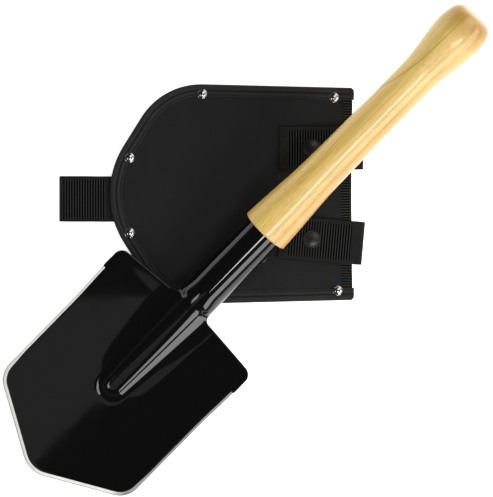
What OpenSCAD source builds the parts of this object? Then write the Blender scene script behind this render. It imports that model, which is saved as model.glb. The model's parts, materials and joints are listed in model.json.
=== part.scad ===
// Camp shovel with a fixed hardwood handle, laid across its own belt sheath.
//
// Row frame: +X runs from the blade's tip to the handle's butt, +Z is up, and the
// origin is the middle of the sheath's back, on the surface that the set lies on.
// The sheath is drawn in its own frame: +X from the nose to the mouth, +Y across.
// The shovel is drawn in its own frame: +X from the tip to the butt along the
// socket's centre line, +Y across the blade, +Z out of the blade's front face.

/* [Shovel] */
// Length of the shovel from the blade's tip to the handle's butt
shovel_len = 520; // [505:1:540]
// Half the width of the blade
blade_half_w = 72.5; // [70:0.5:73]
// Thickness of the blade's steel sheet
steel_t = 2; // [1.5:0.1:2.2]
// Radius of the rounded tip of the blade
tip_r = 24; // [16:1:30]
// Angle between each tip edge and the shovel's centre line
tip_angle = 60; // [56:1:64]
// Radius of the corners between the tip edges and the sides
side_r = 20; // [14:1:26]
// Distance from the tip to the shoulder edge beside the neck
shoulder_s = 186; // [178:1:188]
// Radius of the shoulder corners
shoulder_r = 8; // [6:1:14]
// Width of the ground edge
grind_w = 3.2; // [2.5:0.1:4]
// Steel left at the very edge after grinding
grind_t = 0.6; // [0.4:0.1:1]
// Distance from the tip at which the ground edge stops
grind_end = 165; // [152:1:167]
// Height by which the blade's sides dish forward
dish_h = 3; // [1:0.5:5]

/* [Socket] */
// Outside radius of the socket tube
socket_r = 15.9; // [15:0.1:17]
// Distance from the tip to the open end of the socket
socket_end = 273; // [264:0.5:276]
// Length over which the open back of the neck closes into a tube
neck_len = 22; // [16:1:30]
// Distance from the tip to the middle of the raised rib's round nose
rib_start = 96.5; // [88:0.5:105]
// Half the width of the rib at its nose
rib_nose_w = 15; // [13:0.5:18]
// Half the width of the rib at the shoulder
rib_neck_w = 28.5; // [26:0.5:31]
// Distance of the socket's centre line below the blade's front face
socket_drop = 4.5; // [3:0.5:6]

/* [Handle] */
// Radius of the collar that butts against the socket
collar_r = 20.5; // [19:0.5:21]
// Smallest radius of the grip
waist_r = 15.9; // [14.5:0.1:16.5]
// Radius of the knob at the butt
knob_r = 21.3; // [20:0.1:22]

/* [Sheath] */
// Length of the sheath from its nose to its mouth
sheath_len = 196; // [194:1:205]
// Half the width of the sheath's panels at their widest
sheath_half_w = 88.2; // [87.5:0.1:91]
// Angle by which each side of the sheath runs in towards the mouth
side_taper = 1.4; // [0:0.1:1.5]
// Thickness of the webbing
webbing_t = 1.1; // [1:0.1:1.4]
// Thickness of each fabric panel
panel_t = 1.1; // [1:0.1:1.4]
// Thickness of each stiff liner board
liner_t = 0.6; // [0.5:0.1:0.8]
// Height of the pocket between the two liner boards
pocket_h = 4.3; // [4.2:0.1:5]
// Thickness of the binding tape
tape_t = 0.5; // [0.4:0.1:0.6]
// Width of the binding tape on each face of the sheath's edge
binding_w = 9; // [7:0.5:10]
// Width of the welt strip that is sewn in between the panels
welt_w = 10; // [9.8:0.1:10.2]
// Angle between the shovel and the sheath
lay_angle = 45.5; // [44:0.5:47]

/* [Straps] */
// Width of each retaining strap
strap_w = 35; // [33:0.5:36]
// Length of a strap's flap on the front of the sheath
flap_len = 68; // [64:1:70]
// Distance that the straps stand out past the mouth
strap_reach = 9; // [7:0.5:12]
// Angle by which the lower strap lies askew
lower_skew = 5; // [0:0.5:5.5]
// Radius of the snap caps
snap_r = 7.3; // [6.5:0.1:8]
// Width of the belt loop's webbing
loop_w = 37; // [34:1:40]
// Distance that the belt loop stands out past the nose
loop_reach = 42; // [36:1:50]

/* [Hidden] */

steel_black = [0.07, 0.07, 0.075];
nylon_black = [0.14, 0.14, 0.145];
webbing_black = [0.18, 0.18, 0.185];
board_grey = [0.35, 0.35, 0.36];
snap_black = [0.10, 0.10, 0.10];
wood_tan = [0.90, 0.76, 0.47];
nickel = [0.80, 0.80, 0.82];

// Heights of the sheath's layers above the surface it lies on
back_z = webbing_t + tape_t;
back_liner_z = back_z + panel_t;
pocket_z = back_liner_z + liner_t;
front_liner_z = pocket_z + pocket_h;
front_z = front_liner_z + liner_t;
front_top_z = front_z + panel_t;
tape_top_z = front_top_z + tape_t;

// Heights of the snap fasteners and of the flap above them
flap_gap = 1.9;
flap_z = front_top_z + flap_gap;
flap_top_z = flap_z + webbing_t;
hinge_z = flap_top_z / 2;
hinge_gap = 0.1;

// Rivets along the edge of the sheath, in the sheath's frame
rivet_r = 4.2;
rivet_h = 1.7;
rivet_shank_r = 1.5;
rivet_hole_r = 1.6;
dome_steps = 8;
rivet_spots = [[74, 81.3], [74, -81.3], [15, 29.5], [15, -31.5],
               [sheath_len - 15, 78.4], [sheath_len - 12, -78.4]];

// Straps: centre line across the sheath, skew, and distance of the snap from the fold
fold_x = sheath_len + strap_reach;
upper_y = 37.4;
lower_y = -40.4;
snap_back = 42;
base_len = 54;
loop_y = -4;

// Where the shovel lies: its tip touches down, its socket rests over the sheath's edge
tip_x = -273.2;
tip_y = -40.5;
tip_z = 0.4;
rest_s = 201;
rest_gap = 0.4;
lay_tilt = asin((tape_top_z + rivet_h + rest_gap + socket_r + socket_drop - tip_z)
                / rest_s);

round_fn = 48;

// ---------------------------------------------------------------- helpers

function arc_points(centre, r, from, to, steps) =
    [for (i = [0 : steps]) let (a = from + (to - from) * i / steps)
        centre + r * [cos(a), sin(a)]];
function smooth(x) = let (u = min(1, max(0, x))) u * u * (3 - 2 * u);
function mixed(a, b, k) = a + (b - a) * k;

module in_sheath_frame() {
    rotate([0, 0, -lay_angle]) translate([-sheath_len / 2, 0, 0]) children();
}

module in_shovel_frame() {
    translate([tip_x, tip_y, tip_z]) rotate([0, -lay_tilt, 0]) children();
}

// The socket's and handle's frame: as the shovel's, but on the socket's centre line
module in_socket_frame() {
    in_shovel_frame() translate([0, 0, -socket_drop]) children();
}

// A strap's frame: origin on the floor under its fold, +X out of the mouth
module in_strap_frame(y, skew) {
    in_sheath_frame() translate([fold_x, y, 0]) rotate([0, 0, -skew]) children();
}

// ---------------------------------------------------------------- blade

// The sheet is one grid. Columns 0 to rib_cols cross the rib, and carry on down the
// socket. The columns outside them end at the shoulders. Each row runs across.
rib_cols = 16;
plain_cols = 6;
corner_cols = 7;
last_col = rib_cols + plain_cols + corner_cols;
grind_row = 28;
blade_rows = 36;
fillet_rows = 3;
neck_rows = 8;
tube_rows = 5;
last_row = blade_rows + neck_rows + tube_rows;

// The rib's crown at its nose and at the shoulder: half width, power and steepest angle
crown_w = [7.5, 9.3];
crown_power = [4, 2];
rib_lean = [38, 36];
neck_fillet = 6.1;
neck_w = socket_r + neck_fillet;
seam_angle = 172;
shoulder_fall = 3.2;
shoulder_flare = 1.3;
flare_start = 120;
flare_len = 50;
tip_bow = 2;
bow_len = 90;

tip_normal = [-sin(tip_angle), cos(tip_angle)];
tip_along = [cos(tip_angle), sin(tip_angle)];
tip_arc_end = [tip_r, 0] + tip_r * tip_normal;
side_centre_t = blade_half_w - side_r;
edge_run = (side_centre_t - tip_arc_end[1] + side_r * cos(tip_angle)) / sin(tip_angle);
side_centre_s = tip_arc_end[0] + edge_run * tip_along[0] + side_r * sin(tip_angle);
ground_r = side_r - grind_w;
rim_t = blade_half_w - grind_w;

// Distance from the tip of the ground edge's inner line, at the offset t from the middle
function inner_tip_s(t) =
    t < (tip_r - grind_w) * cos(tip_angle)
        ? tip_r - sqrt(pow(tip_r - grind_w, 2) - t * t)
    : t < side_centre_t + ground_r * cos(tip_angle)
        ? tip_r - (tip_r - grind_w) * sin(tip_angle)
            + (t - (tip_r - grind_w) * cos(tip_angle)) / tan(tip_angle)
    : side_centre_s - sqrt(max(0, pow(ground_r, 2) - pow(t - side_centre_t, 2)));

// Outward direction of the ground edge there
function tip_outward(s, t) =
    t < (tip_r - grind_w) * cos(tip_angle) ? [s - tip_r, t] / (tip_r - grind_w)
    : t < side_centre_t + ground_r * cos(tip_angle) ? tip_normal
    : [s - side_centre_s, t - side_centre_t] / ground_r;

function shoulder_edge_s(t) =
    let (corner_t = blade_half_w + shoulder_flare - shoulder_r)
    t < corner_t
        ? shoulder_s - shoulder_fall * (t - neck_w) / (corner_t - neck_w)
    : shoulder_s - shoulder_fall - shoulder_r
        + sqrt(max(0, pow(shoulder_r, 2) - pow(t - corner_t, 2)));

// Offset of each column from the middle, ahead of the rib
function column_t(j) =
    j <= rib_cols ? rib_nose_w * j / rib_cols
    : j <= rib_cols + plain_cols
        ? mixed(neck_w, side_centre_t + ground_r * cos(tip_angle),
                (j - rib_cols) / (plain_cols + 0.4))
    : side_centre_t + ground_r
        * sin(mixed(90 - tip_angle, 90, (j - rib_cols - plain_cols) / corner_cols));

// Past the end of the ground edge the outer columns move out to the full width
function side_pull(j) = pow(column_t(j) / rim_t, 8);
function side_shift(i, s) =
    (i > grind_row ? grind_w : 0) + shoulder_flare * smooth((s - flare_start) / flare_len);

function rib_run(s) = min(1, max(0, (s - rib_start) / (shoulder_s - rib_start)));
function dish(s, t) =
    dish_h * pow(t / blade_half_w, 2) + tip_bow * pow(max(0, 1 - s / bow_len), 2);

// Height of the rib at the offset t: a crown that turns into a wide fillet. The run
// goes from 0 at the rib's nose to 1 at the shoulder.
function rib_height(run, t) =
    let (w = mixed(rib_nose_w, rib_neck_w, run), c = mixed(crown_w[0], crown_w[1], run),
         n = mixed(crown_power[0], crown_power[1], run),
         lean = mixed(rib_lean[0], rib_lean[1], run), fillet_r = (w - c) / sin(lean))
    t >= w ? 0
    : t > c ? fillet_r - sqrt(pow(fillet_r, 2) - pow(w - t, 2))
    : fillet_r * (1 - cos(lean)) + c * tan(lean) / n * (1 - pow(t / c, n));

// The rib's height anywhere on the blade. Its nose is round.
function rib_at(s, t) =
    s >= rib_start ? rib_height(rib_run(s), t)
    : rib_height(0, norm([t, rib_start - s]));

function tube_point(j) =
    let (a = seam_angle * j / rib_cols) [socket_r * sin(a), socket_r * cos(a) - socket_drop];

// Share of the way from tip to shoulder: one row ends the ground edge, the next is
// only a step further on
grind_share = (grind_end - side_centre_s)
    / (shoulder_s - shoulder_fall - shoulder_r / 2 - side_centre_s);
grind_step = 0.004;
function row_share(i) =
    i <= grind_row ? grind_share * i / grind_row
    : mixed(grind_share + grind_step, 1,
            (i - grind_row - 1) / (blade_rows - grind_row - 1));

function blade_s(i, j) =
    let (t0 = column_t(j), v = row_share(i),
         end = j <= rib_cols ? shoulder_s
             : shoulder_edge_s(t0 + (grind_w + shoulder_flare) * side_pull(j)))
    mixed(inner_tip_s(t0), end, v);

// Half width of the neck at each row: a round inner corner, then the socket's radius
function neck_half_w(n) =
    socket_r + (n < fillet_rows ? neck_fillet * (1 - sin(90 * n / fillet_rows)) : 0);

// Along the neck the sheet's two sides curl down and round into the tube, between
// straight sides
function neck_curl(i, j) =
    let (t = neck_half_w(i - blade_rows) * j / rib_cols,
         k = smooth((row_s(i, j) - shoulder_s) / neck_len))
    mixed([t, rib_height(1, t) + dish(shoulder_s, t)], tube_point(j), k);
function neck_widest(i) = max([for (j = [0 : rib_cols]) neck_curl(i, j)[0]]);

// Offset and height of the front face at row i and column j, for j of 0 or more
function section_point(i, j) =
    i > blade_rows
        ? let (p = neck_curl(i, j))
            [p[0] * neck_half_w(i - blade_rows) / neck_widest(i), p[1]]
    : let (s = blade_s(i, j),
           t = j <= rib_cols ? mixed(rib_nose_w, neck_w, rib_run(s)) * j / rib_cols
             : column_t(j) + side_shift(i, s) * side_pull(j))
        [t, rib_at(s, t) + dish(s, t)];

function row_s(i, j) =
    let (n = i - blade_rows)
    n <= 0 ? blade_s(i, j)
    : n <= fillet_rows ? shoulder_s + neck_fillet * (1 - cos(90 * n / fillet_rows))
    : n <= neck_rows
        ? shoulder_s + mixed(neck_fillet, neck_len,
                             (n - fillet_rows) / (neck_rows - fillet_rows))
    : mixed(shoulder_s + neck_len, socket_end, (n - neck_rows) / tube_rows);

function cols_at(i) = i <= blade_rows ? last_col : rib_cols;

// Direction out of the sheet's front face, from the neighbouring columns
function section_normal(i, j) =
    let (a = j == 0 ? [-1, 1] : section_point(i, j - 1),
         b = j == cols_at(i) ? section_point(i, j) : section_point(i, j + 1),
         d = j == 0 ? [1, 0] : b - a)
    [-d[1], d[0]] / norm(d);

function sheet_point(i, j, depth) =
    let (side = j < 0 ? -1 : 1, m = abs(j),
         p = section_point(i, m) - depth * section_normal(i, m))
    [row_s(i, m), side * p[0], p[1]];

// Points of the ground edge: along the tip row, and down both sides to its end
function grind_point(i, j, depth) =
    let (m = abs(j), side = j < 0 ? -1 : 1, p = sheet_point(i, m, 0),
         out = i == 0 ? tip_outward(p[0], p[1]) : [0, 1])
    [p[0] + grind_w * out[0], side * (p[1] + grind_w * out[1]), p[2] - depth];

// Vertex numbers. Blade rows are full width, socket rows are only the rib's columns.
blade_width = 2 * last_col + 1;
socket_width = 2 * rib_cols + 1;
sheet_count = (blade_rows + 1) * blade_width + (neck_rows + tube_rows) * socket_width;
function sheet_id(i, j) =
    i <= blade_rows ? i * blade_width + j + last_col
    : (blade_rows + 1) * blade_width + (i - blade_rows - 1) * socket_width + j + rib_cols;
function back_id(i, j) = sheet_count + sheet_id(i, j);

// The ground edge's rim as a list of [row, column], from one side round to the other
rim = concat([for (i = [grind_row : -1 : 1]) [i, -last_col]],
             [for (j = [-last_col : last_col]) [0, j]],
             [for (i = [1 : grind_row]) [i, last_col]]);
rim_count = len(rim);
function rim_front(k) = 2 * sheet_count + k;
function rim_back(k) = 2 * sheet_count + rim_count + k;

// The rest of the outline, from the ground edge's end round the socket to its start
bare_rim = concat([for (i = [grind_row : blade_rows]) [i, last_col]],
                  [for (j = [last_col - 1 : -1 : rib_cols]) [blade_rows, j]],
                  [for (i = [blade_rows + 1 : last_row]) [i, rib_cols]],
                  [for (j = [rib_cols - 1 : -1 : -rib_cols]) [last_row, j]],
                  [for (i = [last_row - 1 : -1 : blade_rows]) [i, -rib_cols]],
                  [for (j = [-rib_cols - 1 : -1 : -last_col]) [blade_rows, j]],
                  [for (i = [blade_rows - 1 : -1 : grind_row]) [i, -last_col]]);

function sheet_points(depth) =
    [for (i = [0 : last_row]) for (j = [-cols_at(i) : cols_at(i)]) sheet_point(i, j, depth)];

function two_triangles(a, b, c, d) = [[a, b, c], [a, c, d]];

module blade() {
    points = concat(sheet_points(0), sheet_points(steel_t),
                    [for (p = rim) grind_point(p[0], p[1], steel_t - grind_t)],
                    [for (p = rim) grind_point(p[0], p[1], steel_t)]);
    faces = concat(
        [for (i = [0 : last_row - 1]) let (w = cols_at(i + 1)) for (j = [-w : w - 1])
            each two_triangles(sheet_id(i, j), sheet_id(i, j + 1),
                               sheet_id(i + 1, j + 1), sheet_id(i + 1, j))],
        [for (i = [0 : last_row - 1]) let (w = cols_at(i + 1)) for (j = [-w : w - 1])
            each two_triangles(back_id(i, j), back_id(i + 1, j),
                               back_id(i + 1, j + 1), back_id(i, j + 1))],
        [for (k = [0 : rim_count - 2]) let (p = rim[k], q = rim[k + 1])
            each two_triangles(sheet_id(p[0], p[1]), rim_front(k),
                               rim_front(k + 1), sheet_id(q[0], q[1]))],
        [for (k = [0 : rim_count - 2])
            each two_triangles(rim_front(k), rim_back(k), rim_back(k + 1), rim_front(k + 1))],
        [for (k = [0 : rim_count - 2]) let (p = rim[k], q = rim[k + 1])
            each two_triangles(rim_back(k), back_id(p[0], p[1]),
                               back_id(q[0], q[1]), rim_back(k + 1))],
        [for (k = [0 : len(bare_rim) - 2]) let (p = bare_rim[k], q = bare_rim[k + 1])
            each two_triangles(sheet_id(p[0], p[1]), back_id(p[0], p[1]),
                               back_id(q[0], q[1]), sheet_id(q[0], q[1]))],
        two_triangles(sheet_id(grind_row, -last_col), back_id(grind_row, -last_col),
                      rim_back(0), rim_front(0)),
        two_triangles(sheet_id(grind_row, last_col), rim_front(rim_count - 1),
                      rim_back(rim_count - 1), back_id(grind_row, last_col)));
    color(steel_black) in_shovel_frame() polyhedron(points, faces, convexity = 6);
}

// ---------------------------------------------------------------- handle

tenon_start = shoulder_s + neck_len + 4;
tenon_r = socket_r - steel_t - 0.25;
butt_r = 7;
socket_gap = 0.3;
collar_s = socket_end + socket_gap;

// Radius of the handle at each distance from the tip
handle_stations = [[collar_s + 1.2, collar_r], [288, collar_r - 0.7],
                   [308, 18.4], [329, 17], [355, 16.3], [385, 16], [410, waist_r],
                   [440, waist_r + 0.1], [455, 16.3], [465, 17.2], [475, 18.7],
                   [485, 20.2], [494, knob_r - 0.1], [501, knob_r - 0.1], [507, 20.4],
                   [shovel_len - 7, 18.9], [shovel_len - 3, 16.4],
                   [shovel_len - 0.8, 12.6], [shovel_len, butt_r]];
station_steps = 4;

// A smooth curve through points b and c, with a and d as their neighbours
function curve_between(a, b, c, d, u) =
    0.5 * (2 * b + (c - a) * u + (2 * a - 5 * b + 4 * c - d) * u * u
           + (3 * b - a - 3 * c + d) * pow(u, 3));
function smooth_path(pts, steps) =
    let (n = len(pts) - 1)
    concat([for (k = [0 : n - 1]) for (q = [0 : steps - 1])
                curve_between(pts[max(0, k - 1)], pts[k], pts[k + 1], pts[min(n, k + 2)],
                              q / steps)],
           [pts[n]]);

module handle() {
    outline = concat([[tenon_start, 0], [tenon_start, tenon_r - 1],
                      [tenon_start + 1, tenon_r], [collar_s, tenon_r],
                      [collar_s, collar_r - 1.2]],
                     smooth_path(handle_stations, station_steps),
                     [[shovel_len, 0]]);
    color(wood_tan) in_socket_frame() difference() {
        rotate([0, 90, 0]) rotate_extrude($fn = 96)
            polygon([for (p = outline) [p[1], p[0]]]);
        screw_axis() cylinder(r = screw_r + 0.05, h = 2 * screw_len, center = true,
                              $fn = round_fn);
    }
}

// ---------------------------------------------------------------- socket screw

screw_s = 256;
screw_lean = 100;
screw_r = 1.6;
screw_len = 11;
screw_head_r = 3.6;
screw_head_h = 2;

// The screw's own frame: +Z out through the side of the socket
module screw_axis() {
    translate([screw_s, 0, 0]) rotate([screw_lean, 0, 0]) translate([0, 0, socket_r])
        children();
}

module socket_screw() {
    color(steel_black) in_socket_frame() screw_axis() {
        translate([0, 0, 0.05]) dome(screw_head_r, screw_head_h);
        translate([0, 0, -screw_len]) cylinder(r = screw_r, h = screw_len + 0.5,
                                               $fn = round_fn);
    }
}

// ---------------------------------------------------------------- sheath shell

nose_r = 73;
cheek_r = 56.3;
cheek_angle = 58;
arc_steps = 12;

// Outline of the sheath, moved in by the inset: nose, two rounded cheeks, straight sides
cheek_y = sheath_half_w - cheek_r;
cheek_run = (cheek_y + (cheek_r - nose_r) * cos(cheek_angle)) / sin(cheek_angle);
cheek_x = nose_r + (cheek_r - nose_r) * sin(cheek_angle) + cheek_run * cos(cheek_angle);
function side_y(x, inset) =
    cheek_y + (cheek_r - inset - (x - cheek_x) * sin(side_taper)) / cos(side_taper);
function outline_points(inset, mouth_x) =
    let (lean = 90 - cheek_angle, y = side_y(mouth_x, inset))
    concat([[mouth_x, -y]],
           [for (p = arc_points([cheek_x, -cheek_y], cheek_r - inset, side_taper - 90,
                                lean - 180, arc_steps)) p],
           [for (p = arc_points([nose_r, 0], nose_r - inset, -180 + lean, -180 - lean,
                                arc_steps)) p],
           [for (p = arc_points([cheek_x, cheek_y], cheek_r - inset, 180 - lean,
                                90 - side_taper, arc_steps)) p],
           [[mouth_x, y]]);

module slab(z, t, inset, mouth_x) {
    translate([0, 0, z]) linear_extrude(t) polygon(outline_points(inset, mouth_x));
}

module band(z, t, outer, inner) {
    translate([0, 0, z]) linear_extrude(t) difference() {
        polygon(outline_points(outer, sheath_len));
        polygon(outline_points(inner, sheath_len + 1));
    }
}

module at_rivets() {
    for (p = rivet_spots) translate([p[0], p[1], 0]) children();
}

module rivet_holes() {
    at_rivets() cylinder(r = rivet_hole_r, h = 30, $fn = round_fn);
}

module at_snaps() {
    for (side = [[upper_y, 0], [lower_y, lower_skew]])
        translate([fold_x, side[0], 0]) rotate([0, 0, -side[1]])
            translate([-snap_back, 0, 0]) children();
}

module back_panel() {
    color(nylon_black) in_sheath_frame() difference() {
        slab(back_z, panel_t, 0, sheath_len);
        rivet_holes();
    }
}

module front_panel() {
    color(nylon_black) in_sheath_frame() difference() {
        slab(front_z, panel_t, 0, sheath_len);
        rivet_holes();
        at_snaps() cylinder(r = snap_post_r + 0.1, h = 30, $fn = round_fn);
    }
}

// Stiff boards inside the panels keep the blade's edge off the fabric
liner_inset = welt_w + 0.3;
liner_back = 10;

module back_liner() {
    color(board_grey) in_sheath_frame()
        slab(back_liner_z, liner_t, liner_inset, sheath_len - liner_back);
}

module front_liner() {
    color(board_grey) in_sheath_frame() difference() {
        slab(front_liner_z, liner_t, liner_inset, sheath_len - liner_back);
        at_snaps() cylinder(r = snap_back_r + 0.3, h = 30, $fn = round_fn);
    }
}

module edge_welt() {
    color(nylon_black) in_sheath_frame() difference() {
        band(back_liner_z, front_z - back_liner_z, 0, welt_w);
        rivet_holes();
    }
}

module edge_binding() {
    color(webbing_black) in_sheath_frame() difference() {
        union() {
            band(webbing_t, tape_t, -tape_t, binding_w);
            band(front_top_z, tape_t, -tape_t, binding_w);
            band(webbing_t, tape_top_z - webbing_t, -tape_t, 0);
        }
        rivet_holes();
    }
}

// Tape folded round the mouth edge of a panel, between the two side bindings
module mouth_tape(panel_z) {
    tape_w = 8;
    half = side_y(sheath_len, welt_w) - 0.5;
    difference() {
        translate([sheath_len - tape_w, -half, panel_z - tape_t])
            cube([tape_w + tape_t, 2 * half, panel_t + 2 * tape_t]);
        translate([0, -half - 1, panel_z]) cube([sheath_len, 2 * half + 2, panel_t]);
    }
}

module mouth_binding_back() {
    color(webbing_black) in_sheath_frame() mouth_tape(back_z);
}

module mouth_binding_front() {
    color(webbing_black) in_sheath_frame() mouth_tape(front_z);
}

// ---------------------------------------------------------------- rivets

// A low dome whose flat side is at height 0
module dome(r, h) {
    ball_r = (r * r + h * h) / (2 * h);
    rotate_extrude($fn = round_fn)
        polygon(concat([[0, 0]], arc_points([0, h - ball_r], ball_r,
                                            90 - asin(r / ball_r), 90, dome_steps)));
}

module rivet_caps() {
    color(nickel) in_sheath_frame() at_rivets() {
        translate([0, 0, tape_top_z]) dome(rivet_r, rivet_h);
        translate([0, 0, webbing_t]) cylinder(r = rivet_shank_r, h = tape_top_z - webbing_t,
                                              $fn = round_fn);
    }
}

module rivet_backs() {
    color(nickel) in_sheath_frame() at_rivets()
        translate([0, 0, webbing_t - 0.7]) cylinder(r = rivet_r - 0.4, h = 0.7,
                                                    $fn = round_fn);
}

// ---------------------------------------------------------------- webbing

loop_gap = 4.6;
loop_tail = 150;

// One long strip is sewn down the back, folds at the far end of the loop and comes
// back over itself to the nose, which leaves the gap that the belt goes through.
module belt_loop() {
    outer_r = loop_gap / 2 + webbing_t;
    fold_at = outer_r - loop_reach;
    color(webbing_black) in_sheath_frame() difference() {
        translate([0, loop_y + loop_w / 2, 0]) rotate([90, 0, 0]) linear_extrude(loop_w) {
            difference() {
                union() {
                    translate([fold_at, outer_r]) circle(r = outer_r, $fn = round_fn);
                    translate([fold_at, 0]) square([-fold_at + 6, 2 * outer_r]);
                }
                translate([fold_at, outer_r]) circle(r = loop_gap / 2, $fn = round_fn);
                translate([fold_at, webbing_t]) square([-fold_at + 7, loop_gap]);
            }
            square([loop_tail, webbing_t]);
        }
        slab(webbing_t, 20, -tape_t - 0.05, sheath_len);
    }
}

module strap_base(y, skew) {
    color(webbing_black) in_strap_frame(y, skew) {
        translate([-base_len, -strap_w / 2, 0]) cube([base_len, strap_w, webbing_t]);
        translate([-webbing_t, -strap_w / 2, 0])
            cube([webbing_t, strap_w, hinge_z - hinge_gap / 2]);
    }
}

// The moving flap folds over the mouth about the outer face of its upright part
module strap_flap(y, skew) {
    color(webbing_black) in_strap_frame(y, skew) difference() {
        union() {
            translate([-flap_len, -strap_w / 2, flap_z]) cube([flap_len, strap_w, webbing_t]);
            translate([-webbing_t, -strap_w / 2, hinge_z + hinge_gap / 2])
                cube([webbing_t, strap_w, flap_top_z - hinge_z - hinge_gap / 2]);
        }
        translate([-snap_back, 0, 0]) cylinder(r = snap_post_r + 0.1, h = 30,
                                               $fn = round_fn);
    }
}

module upper_strap_base() {
    strap_base(upper_y, 0);
}

module lower_strap_base() {
    strap_base(lower_y, lower_skew);
}

module upper_strap() {
    strap_flap(upper_y, 0);
}

module lower_strap() {
    strap_flap(lower_y, lower_skew);
}

// ---------------------------------------------------------------- snap fasteners

snap_post_r = 1.6;
snap_back_r = 4.8;
snap_h = 1.8;
stud_flange_r = 5.6;
stud_r = 2.9;
stud_clear = 0.3;
socket_ring_r = 6.2;

module snap_studs() {
    color(snap_black) in_sheath_frame() at_snaps() {
        translate([0, 0, front_top_z]) cylinder(r = stud_flange_r, h = 0.5, $fn = round_fn);
        translate([0, 0, front_top_z]) cylinder(r = stud_r, h = 1.4, $fn = round_fn);
    }
}

module snap_backs() {
    color(nickel) in_sheath_frame() at_snaps() {
        translate([0, 0, front_liner_z]) cylinder(r = snap_back_r, h = liner_t,
                                                  $fn = round_fn);
        translate([0, 0, front_liner_z]) cylinder(r = snap_post_r, h = front_top_z
                                                  - front_liner_z, $fn = round_fn);
    }
}

module snap_cap(y, skew) {
    color(snap_black) in_strap_frame(y, skew) translate([-snap_back, 0, flap_top_z]) {
        dome(snap_r, snap_h);
        translate([0, 0, -webbing_t]) cylinder(r = snap_post_r, h = webbing_t,
                                               $fn = round_fn);
    }
}

module snap_socket(y, skew) {
    ring_z = front_top_z + 0.7;
    color(snap_black) in_strap_frame(y, skew) translate([-snap_back, 0, ring_z])
        difference() {
            cylinder(r = socket_ring_r, h = flap_z - ring_z, $fn = round_fn);
            translate([0, 0, -1]) cylinder(r = stud_r + stud_clear, h = 1.85,
                                           $fn = round_fn);
        }
}

module upper_snap_cap() {
    snap_cap(upper_y, 0);
}

module upper_snap_socket() {
    snap_socket(upper_y, 0);
}

module lower_snap_cap() {
    snap_cap(lower_y, lower_skew);
}

module lower_snap_socket() {
    snap_socket(lower_y, lower_skew);
}

blade();
handle();
socket_screw();
back_panel();
front_panel();
back_liner();
front_liner();
edge_welt();
edge_binding();
mouth_binding_back();
mouth_binding_front();
rivet_caps();
rivet_backs();
belt_loop();
upper_strap_base();
lower_strap_base();
snap_studs();
snap_backs();
upper_strap();
upper_snap_cap();
upper_snap_socket();
lower_strap();
lower_snap_cap();
lower_snap_socket();
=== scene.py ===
"""Looks for the camp shovel and its belt sheath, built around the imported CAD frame.

Sizes are in millimetres until mesh_object() turns them into metres. Two drawing frames
are used, the same as in the CAD part: the sheath's (a from nose to mouth, b across, z up)
and the shovel's (s from tip to butt, t across, z out of the blade's front face).
"""

import functools
import json
import math

import bmesh
import bpy
from mathutils import Matrix, Vector, noise


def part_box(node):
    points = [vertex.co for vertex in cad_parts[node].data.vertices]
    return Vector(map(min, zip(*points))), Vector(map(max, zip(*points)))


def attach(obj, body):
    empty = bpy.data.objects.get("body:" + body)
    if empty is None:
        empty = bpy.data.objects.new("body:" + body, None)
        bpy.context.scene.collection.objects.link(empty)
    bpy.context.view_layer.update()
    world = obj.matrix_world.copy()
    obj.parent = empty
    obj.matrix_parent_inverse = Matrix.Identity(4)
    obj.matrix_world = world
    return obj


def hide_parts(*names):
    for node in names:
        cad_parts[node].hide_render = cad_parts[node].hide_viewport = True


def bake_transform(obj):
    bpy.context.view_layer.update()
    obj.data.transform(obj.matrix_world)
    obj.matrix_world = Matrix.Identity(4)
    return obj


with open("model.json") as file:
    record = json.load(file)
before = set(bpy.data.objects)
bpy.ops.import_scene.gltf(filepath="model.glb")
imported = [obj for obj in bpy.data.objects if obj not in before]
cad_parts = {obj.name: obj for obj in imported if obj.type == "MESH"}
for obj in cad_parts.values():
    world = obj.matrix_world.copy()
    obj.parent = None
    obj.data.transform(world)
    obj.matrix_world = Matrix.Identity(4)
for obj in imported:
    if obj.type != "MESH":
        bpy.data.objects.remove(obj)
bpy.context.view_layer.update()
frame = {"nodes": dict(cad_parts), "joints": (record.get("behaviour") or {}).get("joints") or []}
MM = 0.001


def moved(x, y, z):
    """A shift in millimetres."""
    return Matrix.Translation((x * MM, y * MM, z * MM))


joints = {j["name"]: j for j in frame["joints"]}


# ---------- places from the frame

def top_of(node):
    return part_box(node)[1].z / MM


def bottom_of(node):
    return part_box(node)[0].z / MM


hinge_axis = Vector(joints["upper_flap_hinge"]["axis"])
skewed_axis = Vector(joints["lower_flap_hinge"]["axis"])
lay_angle = math.atan2(hinge_axis.x, hinge_axis.y)
lower_skew = math.atan2(skewed_axis.x, skewed_axis.y) - lay_angle

SHEATH_LEN = 196.0
SHEATH_HALF_W = 88.2
sheath_frame = Matrix.Rotation(-lay_angle, 4, "Z") @ moved(-SHEATH_LEN / 2, 0, 0)


def in_sheath(point):
    """A point of the row frame, in metres, in the sheath's frame, in millimetres."""
    return sheath_frame.inverted() @ Vector(point) / MM


upper_fold = in_sheath(joints["upper_flap_hinge"]["pos_m"])
lower_fold = in_sheath(joints["lower_flap_hinge"]["pos_m"])

front_top = top_of("front_panel")
front_face = bottom_of("front_panel")
back_face = bottom_of("back_panel")
back_top = top_of("back_panel")
flap_top = top_of("upper_strap")
tape_top = top_of("edge_binding")
tape_bottom = bottom_of("edge_binding")

SHOVEL_LEN = 520.0
SOCKET_R = 15.9
SOCKET_DROP = 4.5
RIVET_H = 1.7
REST_GAP = 0.4
REST_S = 201.0
TIP_X, TIP_Y, TIP_Z = -273.2, -40.5, 0.4
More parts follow.
